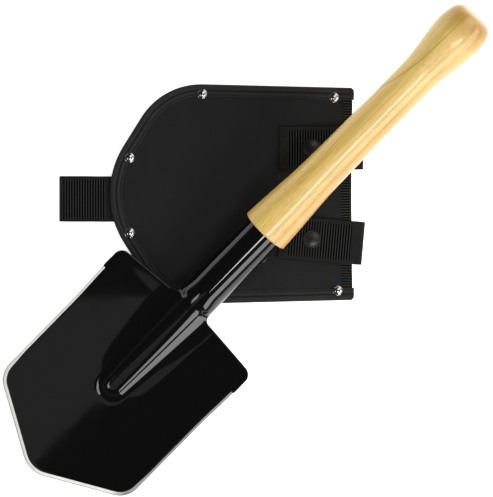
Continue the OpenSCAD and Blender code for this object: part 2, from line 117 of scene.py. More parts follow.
# The tip lies on the ground and the socket rests on the rivet by the sheath's edge
lay_tilt = math.asin((tape_top + RIVET_H + REST_GAP + SOCKET_R + SOCKET_DROP - TIP_Z) / REST_S)
shovel_frame = moved(TIP_X, TIP_Y, TIP_Z) @ Matrix.Rotation(-lay_tilt, 4, "Y")
socket_frame = shovel_frame @ moved(0, 0, -SOCKET_DROP)


# ---------- small helpers

def clamp(x, low=0.0, high=1.0):
    return min(high, max(low, x))


def smooth(x):
    u = clamp(x)
    return u * u * (3 - 2 * u)


def mixed(a, b, k):
    return a + (b - a) * k


def bell(x, width):
    return math.exp(-(x / width) ** 2)


def grid_faces(rows, cols, first=0, ring=False):
    """Quads of a grid of rows x cols vertices; ring joins each row's end to its start."""
    quads = []
    for i in range(rows - 1):
        for j in range(cols if ring else cols - 1):
            k = (j + 1) % cols
            quads.append((first + i * cols + j, first + i * cols + k,
                          first + (i + 1) * cols + k, first + (i + 1) * cols + j))
    return quads


def mesh_object(name, verts, faces, materials, place, sharp=40.0, indices=None, marks=None):
    """A mesh from points in millimetres, smooth but for edges sharper than the angle.

    The place is worked into the points, so that every object sits at the origin. The
    marks are a position along, across and above a strip of webbing for each point.
    """
    mesh = bpy.data.meshes.new(name)
    mesh.from_pydata([place @ (Vector(v) * MM) for v in verts], [], faces)
    if indices:
        mesh.polygons.foreach_set("material_index", indices)
    if marks:
        mark = mesh.attributes.new("strip", "FLOAT_VECTOR", "POINT")
        mark.data.foreach_set("vector", [c for m in marks for c in m])
    work = bmesh.new()
    work.from_mesh(mesh)
    bmesh.ops.remove_doubles(work, verts=work.verts, dist=1e-6)
    bmesh.ops.recalc_face_normals(work, faces=work.faces)
    work.to_mesh(mesh)
    work.free()
    mesh.shade_smooth()
    mesh.set_sharp_from_angle(angle=math.radians(sharp))
    for material in materials:
        mesh.materials.append(material)
    return in_scene(name, mesh)


def in_scene(name, data):
    obj = bpy.data.objects.new(name, data)
    bpy.context.scene.collection.objects.link(obj)
    return obj


def finish_piece(obj, body, slot, *nodes):
    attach(obj, body)
    if nodes:
        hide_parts(*nodes)


def tube_faces(rows, count):
    """Faces of a closed section of count points swept through rows, with both ends."""
    ends = [tuple(range(count)), tuple(rows * count - 1 - k for k in range(count))]
    return grid_faces(rows, count, ring=True) + ends


def lathe(profile, steps):
    """A profile of (radius, height) turned about Z, as points and faces."""
    turns = [2 * math.pi * k / steps for k in range(steps)]
    verts = [(r * math.cos(turn), r * math.sin(turn), z) for r, z in profile for turn in turns]
    return verts, grid_faces(len(profile), steps, ring=True)


def dome(r, top, ball, steps):
    """The (radius, height) points of a part of a ball, from its rim up to the top."""
    rims = [r * (1 - k / steps) for k in range(steps + 1)]
    return [(rim, top - ball + math.sqrt(ball ** 2 - rim * rim)) for rim in rims]


def ball_under(r, h):
    """Radius of the ball whose cap is h high and 2 r across."""
    return (r ** 2 + h ** 2) / (2 * h)


def arc(centre, r, start, end, steps):
    """Points (x, y) along an arc between two angles in degrees."""
    turns = [math.radians(mixed(start, end, k / steps)) for k in range(steps + 1)]
    return [(centre[0] + r * math.cos(turn), centre[1] + r * math.sin(turn)) for turn in turns]


def walk(points):
    """The length of a path, and a function for the point at a distance along it."""
    lengths = [0.0]
    for p, q in zip(points, points[1:]):
        lengths.append(lengths[-1] + (q - p).length)

    def at(want):
        k = 0
        while k < len(points) - 2 and lengths[k + 1] < want:
            k += 1
        span = lengths[k + 1] - lengths[k]
        return points[k].lerp(points[k + 1], (want - lengths[k]) / span if span else 0)

    return lengths[-1], at


# ---------- materials

# A wave texture's scale for a pitch of 1 mm, and the pitch of the ribs across the webbing
WAVE_TURN = 0.314
RIB_PITCH = 2.15


class Shader:
    """A node material with a Principled shader, built up by its own short calls."""

    def __init__(self, name, base, rough, metal=0.0, grain_frame=sheath_frame, **more):
        """The grain frame is the drawing frame that the material's texture follows."""
        self.material = bpy.data.materials.new(name)
        self.material.use_nodes = True
        self.tree = self.material.node_tree
        self.main = self.tree.nodes["Principled BSDF"]
        self.set("Base Color", (*base, 1))
        self.set("Roughness", rough)
        self.set("Metallic", metal)
        for key, value in more.items():
            self.set(key.replace("_", " ").title().replace("Ior", "IOR"), value)
        self.to_frame = grain_frame.inverted()
        self.coords = None

    def set(self, socket, value):
        self.main.inputs[socket].default_value = value

    def node(self, kind, inputs=None, **settings):
        made = self.tree.nodes.new("ShaderNode" + kind)
        for key, value in settings.items():
            setattr(made, key, value)
        for key, value in (inputs or {}).items():
            if isinstance(value, bpy.types.NodeSocket):
                self.tree.links.new(value, made.inputs[key])
            else:
                made.inputs[key].default_value = value
        return made

    def link(self, output, socket):
        self.tree.links.new(output, self.main.inputs[socket])

    def place(self, scale=(1, 1, 1)):
        """Place in the material's drawing frame, in millimetres, stretched by the scale."""
        if self.coords is None:
            found = self.node("TexCoord").outputs["Object"]
            self.coords = self.node("Mapping", {
                "Vector": found, "Location": self.to_frame.to_translation(),
                "Rotation": self.to_frame.to_euler()}).outputs[0]
        return self.node("Mapping", {"Vector": self.coords,
                                     "Scale": [k / MM for k in scale]}).outputs[0]

    def attribute(self, name, scale=(1, 1, 1)):
        """A vector attribute of the mesh, in millimetres, stretched by the scale."""
        got = self.node("Attribute", attribute_name=name, attribute_type="GEOMETRY")
        return self.node("Mapping", {"Vector": got.outputs["Vector"], "Scale": scale}).outputs[0]

    def noise(self, place, scale, detail=2.0, rough=0.5, distort=0.0):
        made = self.node("TexNoise", {"Vector": place, "Scale": scale, "Detail": detail,
                                      "Roughness": rough, "Distortion": distort})
        return made.outputs["Fac"]

    def ramp(self, fac, *stops):
        """A colour ramp; each stop is (position, value or colour)."""
        made = self.node("ValToRGB", {"Fac": fac})
        points = made.color_ramp.elements
        while len(points) < len(stops):
            points.new(0.5)
        for point, (position, colour) in zip(points, stops):
            point.position = position
            point.color = (*colour, 1) if isinstance(colour, tuple) else (colour,) * 3 + (1,)
        return made.outputs["Color"]

    def math(self, kind, *values):
        made = self.node("Math", dict(enumerate(values)), operation=kind)
        return made.outputs[0]

    def mix(self, fac, a, b, kind="MIX"):
        """Two colours mixed; each is a socket or three numbers."""
        a, b = ((*c, 1) if isinstance(c, tuple) else c for c in (a, b))
        made = self.node("Mix", {0: fac, 6: a, 7: b}, data_type="RGBA", blend_type=kind)
        return made.outputs[2]

    def times(self, a, b):
        return self.mix(1.0, a, b, "MULTIPLY")

    def component(self, vector, axis):
        return self.node("SeparateXYZ", {"Vector": vector}).outputs[axis]

    def stripes(self, place, pitch, axis):
        """A wave across the axis, 0 to 1, once for each pitch in millimetres."""
        return self.node("TexWave", {"Vector": place, "Scale": WAVE_TURN / pitch, "Distortion": 0.0},
                         bands_direction=axis).outputs["Fac"]

    def bump(self, height, distance, strength=1.0, under=None):
        """Bump whose full height is the distance, in millimetres."""
        made = self.node("Bump", {"Height": height, "Distance": distance * MM,
                                  "Strength": strength})
        if under is not None:
            self.tree.links.new(under, made.inputs["Normal"])
        return made.outputs[0]


def flecked(name, base, rough, grain, bump, ramps, **more):
    """A material whose fine noise drives a bump and, through ramps, some sockets."""
    s = Shader(name, base, rough, **more)
    flecks = s.noise(s.place(), *grain)
    for socket, stops in ramps.items():
        s.link(s.ramp(flecks, *stops), socket)
    s.link(s.bump(flecks, *bump), "Normal")
    return s.material


def gloss_paint():
    """Stoved black enamel: nearly a mirror, with slack waves and a slight orange peel."""
    s = Shader("gloss_black_enamel", (0.0022, 0.0022, 0.0025), 0.09, grain_frame=shovel_frame)
    place = s.place()
    dust = s.noise(place, 0.045, 3.0, 0.6)
    s.link(s.ramp(dust, (0.35, 0.03), (0.7, 0.06)), "Roughness")
    slack = s.node("TexNoise", {"Vector": place, "Scale": 0.019, "Detail": 0.5, "W": 1.7},
                   noise_dimensions="4D").outputs["Fac"]
    s.link(s.bump(s.noise(place, 0.22, 1.0), 0.003, 0.5, s.bump(slack, 0.12)), "Normal")
    return s.material


def ground_steel():
    """Bare steel off a grinding belt, with fine lines, and painted shade on its -t side."""
    s = Shader("ground_steel", (0.86, 0.86, 0.83), 0.45, 0.05, grain_frame=shovel_frame)
    place = s.place()
    patch = s.noise(place, 0.12, 3.0, 0.6)
    tone = s.ramp(patch, (0.3, (0.84, 0.84, 0.80)), (0.65, (0.95, 0.95, 0.92)))
    # painted shade: the base colour falls to about a quarter along the blade's -t edge
    share = s.math("MULTIPLY_ADD", s.component(place, "Y"), 1 / 160, 0.5)
    s.link(s.times(tone, s.ramp(share, (0.075, 0.26), (0.125, 1.0))), "Base Color")
    lines = s.noise(s.place((0.35, 6.0, 1.0)), 1.0, 2.0)
    s.link(s.ramp(lines, (0.3, 0.30), (0.7, 0.48)), "Roughness")
    s.link(s.bump(lines, 0.02, 0.6), "Normal")
    return s.material


def rim_shade_steel():
    """The outermost, rolled-over rim of the ground edge, coloured dark grey as painted shade."""
    return flecked("rim_shade_steel", (0.16, 0.16, 0.155), 0.5, (0.3, 3.0, 0.6), (0.02, 0.5),
                   {"Base Color": ((0.3, (0.07, 0.07, 0.068)), (0.7, (0.16, 0.16, 0.155)))},
                   metal=0.4, grain_frame=shovel_frame)


def screw_steel():
    """Blackened steel, a little worn."""
    return flecked("blackened_steel", (0.02, 0.02, 0.021), 0.32, (0.9, 4.0, 0.7), (0.03, 0.5),
                   {"Base Color": ((0.45, (0.015, 0.015, 0.016)), (0.75, (0.10, 0.10, 0.10)))},
                   metal=0.8, grain_frame=shovel_frame)


def varnished_wood():
    """Clear varnished hardwood: long grain, pores drawn out along the handle, with painted shade
    across the handle and at the butt.
    """
    s = Shader("varnished_wood", (0.66, 0.44, 0.16), 0.42, grain_frame=socket_frame,
               specular_ior_level=0.12, coat_weight=0.65, coat_roughness=0.17)
    bands = s.noise(s.place((0.012, 1.0, 1.0)), 0.16, 4.0, 0.55, 0.5)
    tone = s.ramp(bands, (0.30, (0.68, 0.47, 0.13)), (0.46, (0.80, 0.58, 0.18)),
                  (0.60, (0.86, 0.65, 0.23)), (0.74, (0.90, 0.71, 0.30)))
    blush = s.ramp(s.noise(s.place((0.006, 0.5, 0.5)), 0.09, 2.0), (0.42, 0.0), (0.62, 0.55))
    warm = s.mix(blush, tone, (0.86, 0.52, 0.19))
    fibres = s.noise(s.place((0.035, 2.2, 2.2)), 0.9, 5.0, 0.65)
    fine = s.mix(s.ramp(fibres, (0.32, 0.62), (0.52, 0.0)), warm, (0.42, 0.25, 0.07))
    here = s.place()
    along, across, up = (s.component(here, axis) for axis in "XYZ")
    # painted shade across the handle: darker and redder on the -t side that faces the key, full and
    # yellower on the +t side
    painted_side_shade = s.ramp(s.math("MULTIPLY_ADD", across, 1 / 40, 0.5), (0.20, (0.74, 0.66, 0.66)),
                   (0.42, (0.86, 0.84, 0.92)), (0.55, (0.97, 0.96, 0.92)), (0.75, (1.0, 1.0, 0.80)))
    run = s.math("MULTIPLY", along, 1 / SHOVEL_LEN)
    pale = s.mix(s.ramp(run, (0.79, 0.0), (0.87, 0.16)), s.times(fine, painted_side_shade), (1.0, 0.80, 0.34))
    # painted shade: the colour darkens towards the butt end
    toned = s.times(pale, s.ramp(run, (0.95, (1.0, 1.0, 1.0)), (0.985, (0.64, 0.55, 0.42))))
    # the growth line runs up from the butt and leaves over the waist's side
    back = s.math("MAXIMUM", s.math("MULTIPLY_ADD", along, -0.01, 5.13), 0.0)
    bent = s.math("MULTIPLY_ADD", s.math("POWER", back, 3.0), 13.7, 6.7)
    wander = s.math("MULTIPLY_ADD", s.noise(s.place((0.04, 0, 0)), 1.0, 2.0), 1.6, across)
    gap = s.math("MULTIPLY_ADD", s.math("SUBTRACT", wander, bent), 0.1, 0.5)
    line = s.ramp(gap, (0.37, 0.0), (0.485, 0.62), (0.515, 0.50), (0.57, 0.0))
    upper = s.ramp(s.math("MULTIPLY", up, 0.1), (0.0, 0.0), (0.3, 1.0))
    s.link(s.mix(s.math("MULTIPLY", line, upper), toned, (0.43, 0.26, 0.06)), "Base Color")
    s.link(s.ramp(fibres, (0.3, 0.5), (0.7, 0.36)), "Roughness")
    s.link(s.bump(fibres, 0.05, 0.35), "Normal")
    s.link(s.bump(s.noise(s.place((0.25, 1, 1)), 0.09, 1.0), 0.05, 0.35), "Coat Normal")
    return s.material


def weave(s, pitch, depth, tint, blotch_tint):
    """Plain weave: two sets of threads over and under each other, painted lighter where they stand up
    as a painted highlight; returns its colour.
    """
    place = s.place()
    knots = s.math("MULTIPLY", s.stripes(place, pitch, "X"), s.stripes(place, pitch, "Y"))
    height = s.math("MULTIPLY_ADD", s.noise(place, 1.6, 3.0, 0.7), 0.8, knots)
    blotch = s.ramp(s.noise(place, 0.035, 3.0, 0.6), (0.35, 0.0), (0.7, 1.0))
    # painted highlight: the colour lightens towards twice the tint where the threads stand up
    lit = s.mix(s.math("MULTIPLY", height, 0.30), s.mix(blotch, blotch_tint, tint),
                tuple(2.1 * c for c in tint))
    s.link(lit, "Base Color")
    s.link(s.bump(height, depth, 0.8), "Normal")
    return lit


def nylon():
    s = Shader("woven_nylon", (0.013, 0.013, 0.014), 0.78, specular_ior_level=0.2)
    weave(s, 0.75, 0.16, (0.0085, 0.0087, 0.0095), (0.0060, 0.0062, 0.0068))
    return s.material


def ribbed(s, cloth, groove, edges, colours, gloss):
    """Painted shade in the valleys and painted highlights on the crests of the cloth's colour, where
    the strip has ribs.

    The strip attribute holds the run along the strip, the offset across it and how far
    the ribs stand up there.
    """
    place = s.attribute("strip")
    ribs, share = s.stripes(place, RIB_PITCH, "X"), s.component(place, "Z")
    # painted shade darkens the valleys and grooves and dims their specular; a painted highlight
    # lightens the crests
    valley_shade = s.math("MULTIPLY", s.ramp(ribs, (edges[0], 1.0), (edges[1], 0.0)), share)
    crest_highlight = s.math("MULTIPLY", s.ramp(ribs, (0.7, 0.0), (1.0, 0.5)), share)
    shade_mask = s.math("MAXIMUM", groove, valley_shade)
    s.link(s.mix(crest_highlight, s.mix(shade_mask, cloth, colours[0]), colours[1]), "Base Color")
    s.link(s.math("MULTIPLY_ADD", shade_mask, -gloss, gloss), "Specular IOR Level")


def tape():
    """Binding tape with painted shade in the two grooves beside its seam and between its ribs."""
    s = Shader("binding_tape", (0.013, 0.013, 0.013), 0.72, specular_ior_level=0.25)
    cloth = weave(s, 0.55, 0.14, (0.0140, 0.0143, 0.0138), (0.0088, 0.0090, 0.0088))
    inward = s.component(s.attribute("strip", (1, 0.1, 1)), "Y")
    # painted shade: dark bands over the two grooves in the tape's face
    groove = s.ramp(inward, (0.33, 0.0), (0.38, 0.6), (0.43, 0.6), (0.48, 0.0),
                    (0.70, 0.0), (0.76, 0.6), (0.81, 0.0))
    # painted shade in the rib valleys, painted highlights on the crests
    ribbed(s, cloth, groove, (0.25, 0.7), ((0.0020,) * 3, (0.024, 0.024, 0.0235)), 0.25)
    return s.material


def webbing():
    """Webbing yarn: fine threads along the strip, painted lighter where they stand up as a painted
    highlight; its ribs are in the meshes, with painted shade in their valleys and painted highlights
    on their crests.
    """
    s = Shader("nylon_webbing", (0.009, 0.009, 0.009), 0.62)
    yarn = s.noise(s.attribute("strip", (0.5, 2.6, 0)), 1.0, 3.0, 0.6)
    blotch = s.ramp(s.noise(s.attribute("strip", (1, 1, 0)), 0.09, 3.0), (0.3, 0.0), (0.7, 1.0))
    tone = s.mix(blotch, (0.0034, 0.0035, 0.0036), (0.0054, 0.0055, 0.0054))
    # painted highlight: the threads that the yarn bump raises are lighter
    lit = s.mix(s.ramp(yarn, (0.42, 0.0), (0.75, 0.6)), tone, (0.018, 0.018, 0.0177))
    # painted shade in the rib valleys, painted highlights on the crests
    ribbed(s, lit, 0.0, (0.20, 0.70), ((0.0008,) * 3, (0.042, 0.042, 0.0415)), 0.14)
    s.link(s.bump(yarn, 0.14, 0.7), "Normal")
    return s.material


def thread():
    return flecked("sewing_thread", (0.006, 0.006, 0.006), 0.7, (3.0, 2.0), (0.1, 0.5),
                   {"Base Color": ((0.3, (0.004, 0.004, 0.004)), (0.7, (0.009, 0.009, 0.009)))},
                   specular_ior_level=0.15)


def nickel():
    return flecked("nickel_plate", (0.30, 0.30, 0.31), 0.10, (0.5, 4.0, 0.7), (0.01, 0.4),
                   {"Roughness": ((0.35, 0.05), (0.7, 0.14))}, metal=1.0)


def snap_lacquer():
    return flecked("snap_black_lacquer", (0.006, 0.006, 0.0065), 0.30, (0.6, 4.0, 0.7), (0.01, 0.5),
                   {"Roughness": ((0.35, 0.24), (0.7, 0.42)),
                    "Base Color": ((0.5, (0.005, 0.005, 0.0052)), (0.8, (0.013, 0.013, 0.0137)))},
                   specular_ior_level=0.32)


def board():
    return flecked("liner_board", (0.040, 0.040, 0.042), 0.6, (2.0, 4.0, 0.6), (0.05, 0.5),
                   {"Base Color": ((0.3, (0.034, 0.034, 0.036)), (0.7, (0.05, 0.05, 0.052)))})


PAINT = gloss_paint()
GROUND = ground_steel()
RIM_SHADE = rim_shade_steel()
SCREW = screw_steel()
WOOD = varnished_wood()
NYLON = nylon()
TAPE = tape()
WEBBING = webbing()
THREAD = thread()
NICKEL = nickel()
SNAP = snap_lacquer()
BOARD = board()


# ---------- blade

# Outline, from the tip to the shoulders
STEEL_T = 2.0
BLADE_HALF_W = 72.5
TIP_R = 24.0
TIP_ANGLE = math.radians(60)
SIDE_R = 20.0
SHOULDER_S = 186.0
SHOULDER_R = 8.0
SHOULDER_FALL = 3.2
SHOULDER_FLARE = 1.3
FLARE_START = 120.0
FLARE_LEN = 50.0
# Ground edge
GRIND_W = 3.2
GRIND_T = 0.6
GRIND_END = 165.0
GRIND_STEP = 0.004
# Dished sides and bowed tip
DISH_H = 3.0
TIP_BOW = 2.0
BOW_LEN = 90.0
# Socket, neck and rib
SOCKET_END = 273.0
NECK_LEN = 22.0
NECK_FILLET = 6.1
RIB_START = 96.5
RIB_NOSE_W = 15.0
RIB_NECK_W = 28.5
CROWN_W = (7.5, 9.3)
CROWN_POWER = (4.0, 2.0)
RIB_LEAN = (math.radians(38), math.radians(36))
SEAM_ANGLE = 172.0
CREASE_IN = 12.0
CREASE_H = 0.12

# Columns and rows of the sheet's grid
RIB_COLS, PLAIN_COLS, CORNER_COLS = 36, 8, 12
LAST_COL = RIB_COLS + PLAIN_COLS + CORNER_COLS
GRIND_ROW, BLADE_ROWS = 64, 82
FILLET_ROWS, NECK_ROWS, TUBE_ROWS = 12, 34, 12
LAST_ROW = BLADE_ROWS + NECK_ROWS + TUBE_ROWS
NECK_W = SOCKET_R + NECK_FILLET

SIDE_T = BLADE_HALF_W - SIDE_R
GROUND_R = SIDE_R - GRIND_W
RIM_T = BLADE_HALF_W - GRIND_W
TIP_SIN, TIP_COS = math.sin(TIP_ANGLE), math.cos(TIP_ANGLE)
tip_arc_s = TIP_R - TIP_R * TIP_SIN
tip_arc_t = TIP_R * TIP_COS
edge_run = (SIDE_T - tip_arc_t + SIDE_R * TIP_COS) / TIP_SIN
SIDE_S = tip_arc_s + edge_run * TIP_COS + SIDE_R * TIP_SIN
GRIND_SHARE = (GRIND_END - SIDE_S) / (SHOULDER_S - SHOULDER_FALL - SHOULDER_R / 2 - SIDE_S)


def tip_edge(t):
    """Where the paint ends round the tip at the offset t, and the direction outwards."""
    inner_r = TIP_R - GRIND_W
    if t < inner_r * TIP_COS:
        s = TIP_R - math.sqrt(inner_r ** 2 - t * t)
        return s, ((s - TIP_R) / inner_r, t / inner_r)
    if t < SIDE_T + GROUND_R * TIP_COS:
        s = TIP_R - inner_r * TIP_SIN + (t - inner_r * TIP_COS) / math.tan(TIP_ANGLE)
        return s, (-TIP_SIN, TIP_COS)
    s = SIDE_S - math.sqrt(max(0.0, GROUND_R ** 2 - (t - SIDE_T) ** 2))
    return s, ((s - SIDE_S) / GROUND_R, (t - SIDE_T) / GROUND_R)


def shoulder_edge_s(t):
    corner_t = BLADE_HALF_W + SHOULDER_FLARE - SHOULDER_R
    if t < corner_t:
        return SHOULDER_S - SHOULDER_FALL * (t - NECK_W) / (corner_t - NECK_W)
    return (SHOULDER_S - SHOULDER_FALL - SHOULDER_R
            + math.sqrt(max(0.0, SHOULDER_R ** 2 - (t - corner_t) ** 2)))


def rib_run(s):
    return clamp((s - RIB_START) / (SHOULDER_S - RIB_START))


def rib_height(run, t):
    """Height of the rib: a crown that turns into a wide fillet, from nose to shoulder."""
    w, crown, power, lean = (mixed(*pair, run) for pair in (
        (RIB_NOSE_W, RIB_NECK_W), CROWN_W, CROWN_POWER, RIB_LEAN))
    fillet_r = (w - crown) / math.sin(lean)
    if t >= w:
        return 0.0
    if t > crown:
        return fillet_r - math.sqrt(fillet_r ** 2 - (w - t) ** 2)
    return (fillet_r * (1 - math.cos(lean))
            + crown * math.tan(lean) / power * (1 - (t / crown) ** power))


def rib_at(s, t):
    if s >= RIB_START:
        return rib_height(rib_run(s), t)
    return rib_height(0, math.hypot(t, RIB_START - s))


def column_t(j):
    """Offset of each column from the middle, ahead of the rib."""
    if j <= RIB_COLS:
        return RIB_NOSE_W * j / RIB_COLS
    if j <= RIB_COLS + PLAIN_COLS:
        return mixed(NECK_W, SIDE_T + GROUND_R * TIP_COS, (j - RIB_COLS) / (PLAIN_COLS + 0.4))
    lean = mixed(math.pi / 2 - TIP_ANGLE, math.pi / 2, (j - RIB_COLS - PLAIN_COLS) / CORNER_COLS)
    return SIDE_T + GROUND_R * math.sin(lean)


def side_pull(j):
    return (column_t(j) / RIM_T) ** 8


def row_share(i):
    if i <= GRIND_ROW:
        return GRIND_SHARE * i / GRIND_ROW
    return mixed(GRIND_SHARE + GRIND_STEP, 1, (i - GRIND_ROW - 1) / (BLADE_ROWS - GRIND_ROW - 1))


def blade_s(i, j):
    t = column_t(j)
    if j <= RIB_COLS:
        end = SHOULDER_S
    else:
        end = shoulder_edge_s(t + (GRIND_W + SHOULDER_FLARE) * side_pull(j))
    return mixed(tip_edge(t)[0], end, row_share(i))


def dish(s, t):
    """Height of the sheet beside the rib: dished sides, bowed tip, lifted shoulder edge."""
    edge = smooth((abs(t) - NECK_W) / 14) * CREASE_H * smooth(
        1 - (shoulder_edge_s(min(abs(t), BLADE_HALF_W)) - s) / CREASE_IN)
    return (DISH_H * (t / BLADE_HALF_W) ** 2 + TIP_BOW * max(0.0, 1 - s / BOW_LEN) ** 2 + edge)


def neck_half_w(n):
    if n >= FILLET_ROWS:
        return SOCKET_R
    return SOCKET_R + NECK_FILLET * (1 - math.sin(math.pi / 2 * n / FILLET_ROWS))


def neck_curl(i, j):
    """Along the neck the sheet's two sides curl down and round into the tube."""
    t = neck_half_w(i - BLADE_ROWS) * j / RIB_COLS
    z = rib_height(1, t) + dish(SHOULDER_S, t)
    k = smooth((row_s(i, j) - SHOULDER_S) / NECK_LEN)
    a = math.radians(SEAM_ANGLE * j / RIB_COLS)
    return (mixed(t, SOCKET_R * math.sin(a), k), mixed(z, SOCKET_R * math.cos(a) - SOCKET_DROP, k))


@functools.lru_cache(None)
def neck_widest(i):
    return max(neck_curl(i, j)[0] for j in range(RIB_COLS + 1))


def section_point(i, j):
    """Offset and height of the front face at a row and column."""
    if i > BLADE_ROWS:
        t, z = neck_curl(i, j)
        return (t * neck_half_w(i - BLADE_ROWS) / neck_widest(i), z)
    s = blade_s(i, j)
    if j <= RIB_COLS:
        t = mixed(RIB_NOSE_W, NECK_W, rib_run(s)) * j / RIB_COLS
    else:
        shift = (GRIND_W if i > GRIND_ROW else 0) + SHOULDER_FLARE * smooth(
            (s - FLARE_START) / FLARE_LEN)
        t = column_t(j) + shift * side_pull(j)
    return (t, rib_at(s, t) + dish(s, t))


def row_s(i, j):
    n = i - BLADE_ROWS
    if n <= 0:
        return blade_s(i, j)
    if n <= FILLET_ROWS:
        return SHOULDER_S + NECK_FILLET * (1 - math.cos(math.pi / 2 * n / FILLET_ROWS))
    if n <= NECK_ROWS:
        return SHOULDER_S + mixed(NECK_FILLET, NECK_LEN, (n - FILLET_ROWS) / (NECK_ROWS - FILLET_ROWS))
    return mixed(SHOULDER_S + NECK_LEN, SOCKET_END, (n - NECK_ROWS) / TUBE_ROWS)


def cols_at(i):
    return LAST_COL if i <= BLADE_ROWS else RIB_COLS


def sheet_point(i, j, depth):
    m, side = abs(j), -1 if j < 0 else 1
    here = section_point(i, m)
    ahead = here if m == cols_at(i) else section_point(i, m + 1)
    behind = section_point(i, m - 1) if m else None
    d = (ahead[0] - behind[0], ahead[1] - behind[1]) if m else (1, 0)
    size = math.hypot(*d)
    return (row_s(i, m), side * (here[0] + depth * d[1] / size), here[1] - depth * d[0] / size)


# The bare steel's share of the ground edge at the tip and on the sides, how much less it
# slopes on the sides, and where along the blade the tip's values turn into the sides'
TIP_BARE, SIDE_BARE = 0.96, 0.62
SIDE_DROP = 0.5
BARE_FROM, BARE_FADE = 44.0, 26.0
# Each facet's end as shares across and down the bare steel; later facets than this are dark grey, a
# painted shade on the rolled rim
BARE_FACETS = ((0.45, 0.30), (0.84, 0.80), (1.0, 0.93), (0.97, 1.0))
SHADE_AFTER_FACET = 2
# The painted rim's rounding
RIM_STEPS, RIM_BULGE = 6, 0.55


def painted_rim():
    """Places along the rest of the sheet's edge: sides, shoulders, neck and socket's end."""
    return ([(i, LAST_COL) for i in range(GRIND_ROW, BLADE_ROWS + 1)]
            + [(BLADE_ROWS, j) for j in range(LAST_COL - 1, RIB_COLS - 1, -1)]
            + [(i, RIB_COLS) for i in range(BLADE_ROWS + 1, LAST_ROW + 1)]
            + [(LAST_ROW, j) for j in range(RIB_COLS - 1, -RIB_COLS - 1, -1)]
            + [(i, -RIB_COLS) for i in range(LAST_ROW - 1, BLADE_ROWS - 1, -1)]
            + [(BLADE_ROWS, j) for j in range(-RIB_COLS - 1, -LAST_COL - 1, -1)]
            + [(i, -LAST_COL) for i in range(BLADE_ROWS - 1, GRIND_ROW - 1, -1)])


def ground_rim():
    """Places along the ground edge, from one side round the tip to the other."""
    return ([(i, -LAST_COL) for i in range(GRIND_ROW, 0, -1)]
            + [(0, j) for j in range(-LAST_COL, LAST_COL + 1)]
            + [(i, LAST_COL) for i in range(1, GRIND_ROW + 1)])


def ground_points(i, j):
    """The ground edge's facets at one place, from the front face out and down."""
    s, t, z = sheet_point(i, abs(j), 0)
    out = tip_edge(abs(t))[1] if i == 0 else (0, 1)
    side = -1 if j < 0 else 1
    fade = smooth((s - BARE_FROM) / BARE_FADE)
    bare = mixed(TIP_BARE, SIDE_BARE, fade)
    fall = (STEEL_T - GRIND_T) * mixed(1.0, SIDE_DROP, fade)
    steps = [(1 - bare, 0.0)] + [(1 - bare * (1 - share), depth * fall)
                                 for share, depth in BARE_FACETS]
    steps[-1] = (steps[-1][0], STEEL_T)
    return [(s + GRIND_W * share * out[0], side * (t + GRIND_W * share * out[1]), z - depth)
            for share, depth in steps]


def ground_material(facet):
    """Material's index on a facet: the outermost are dark grey, a painted shade, the first and the
    last paint.
    """
    if facet in (0, len(BARE_FACETS) + 1):
        return 0
    return 2 if facet > SHADE_AFTER_FACET else 1


def blade():
    """The sheet's two faces as one grid each, the ground edge and the rounded painted rim."""
    verts, faces, paint, ids = [], [], [], {}

    def put(key, point):
        ids[key] = len(verts)
        verts.append(point)

    def add(quad, index=0):
        faces.append(quad)
        paint.append(index)

    def close(kind, rim, count, index_of):
        """Faces between the sheet's front and back along a rim with count inner points."""
        rings = [[ids[(0, *key)]] + [ids[kind, q, k] for q in range(count)] + [ids[(1, *key)]]
                 for k, key in enumerate(rim)]
        for here, after in zip(rings, rings[1:]):
            for q in range(count + 1):
                add((here[q], here[q + 1], after[q + 1], after[q]), index_of(q))
        add(tuple(rings[0]), index_of(1))
        add(tuple(rings[-1]), index_of(1))

    for face, depth in ((0, 0.0), (1, STEEL_T)):
        for i in range(LAST_ROW + 1):
            for j in range(-cols_at(i), cols_at(i) + 1):
                put((face, i, j), sheet_point(i, j, depth))
    for face in (0, 1):
        for i in range(LAST_ROW):
            for j in range(-cols_at(i + 1), cols_at(i + 1)):
                add((ids[face, i, j], ids[face, i, j + 1],
                     ids[face, i + 1, j + 1], ids[face, i + 1, j]))

    for k, key in enumerate(ground_rim()):
        for q, point in enumerate(ground_points(*key)):
            put(("ground", q, k), point)
    close("ground", ground_rim(), len(BARE_FACETS) + 1, ground_material)

    rim = painted_rim()
    for k, key in enumerate(rim):
        top, low = Vector(verts[ids[(0, *key)]]), Vector(verts[ids[(1, *key)]])
        before = Vector(verts[ids[(0, *rim[max(0, k - 1)])]])
        after = Vector(verts[ids[(0, *rim[min(len(rim) - 1, k + 1)])]])
        out = (after - before).cross(top - low).normalized()
        for q in range(RIM_STEPS - 1):
            turn = math.pi * (q + 1) / RIM_STEPS
            put(("painted", q, k),
                tuple(top.lerp(low, (1 - math.cos(turn)) / 2) - out * RIM_BULGE * math.sin(turn)))
    close("painted", rim, RIM_STEPS - 1, lambda q: 0)
    obj = mesh_object("blade_sheet", verts, faces, [PAINT, GROUND, RIM_SHADE], shovel_frame, 24, paint)
    finish_piece(obj, "shovel", "painted_steel", "blade")


# ---------- handle and screw

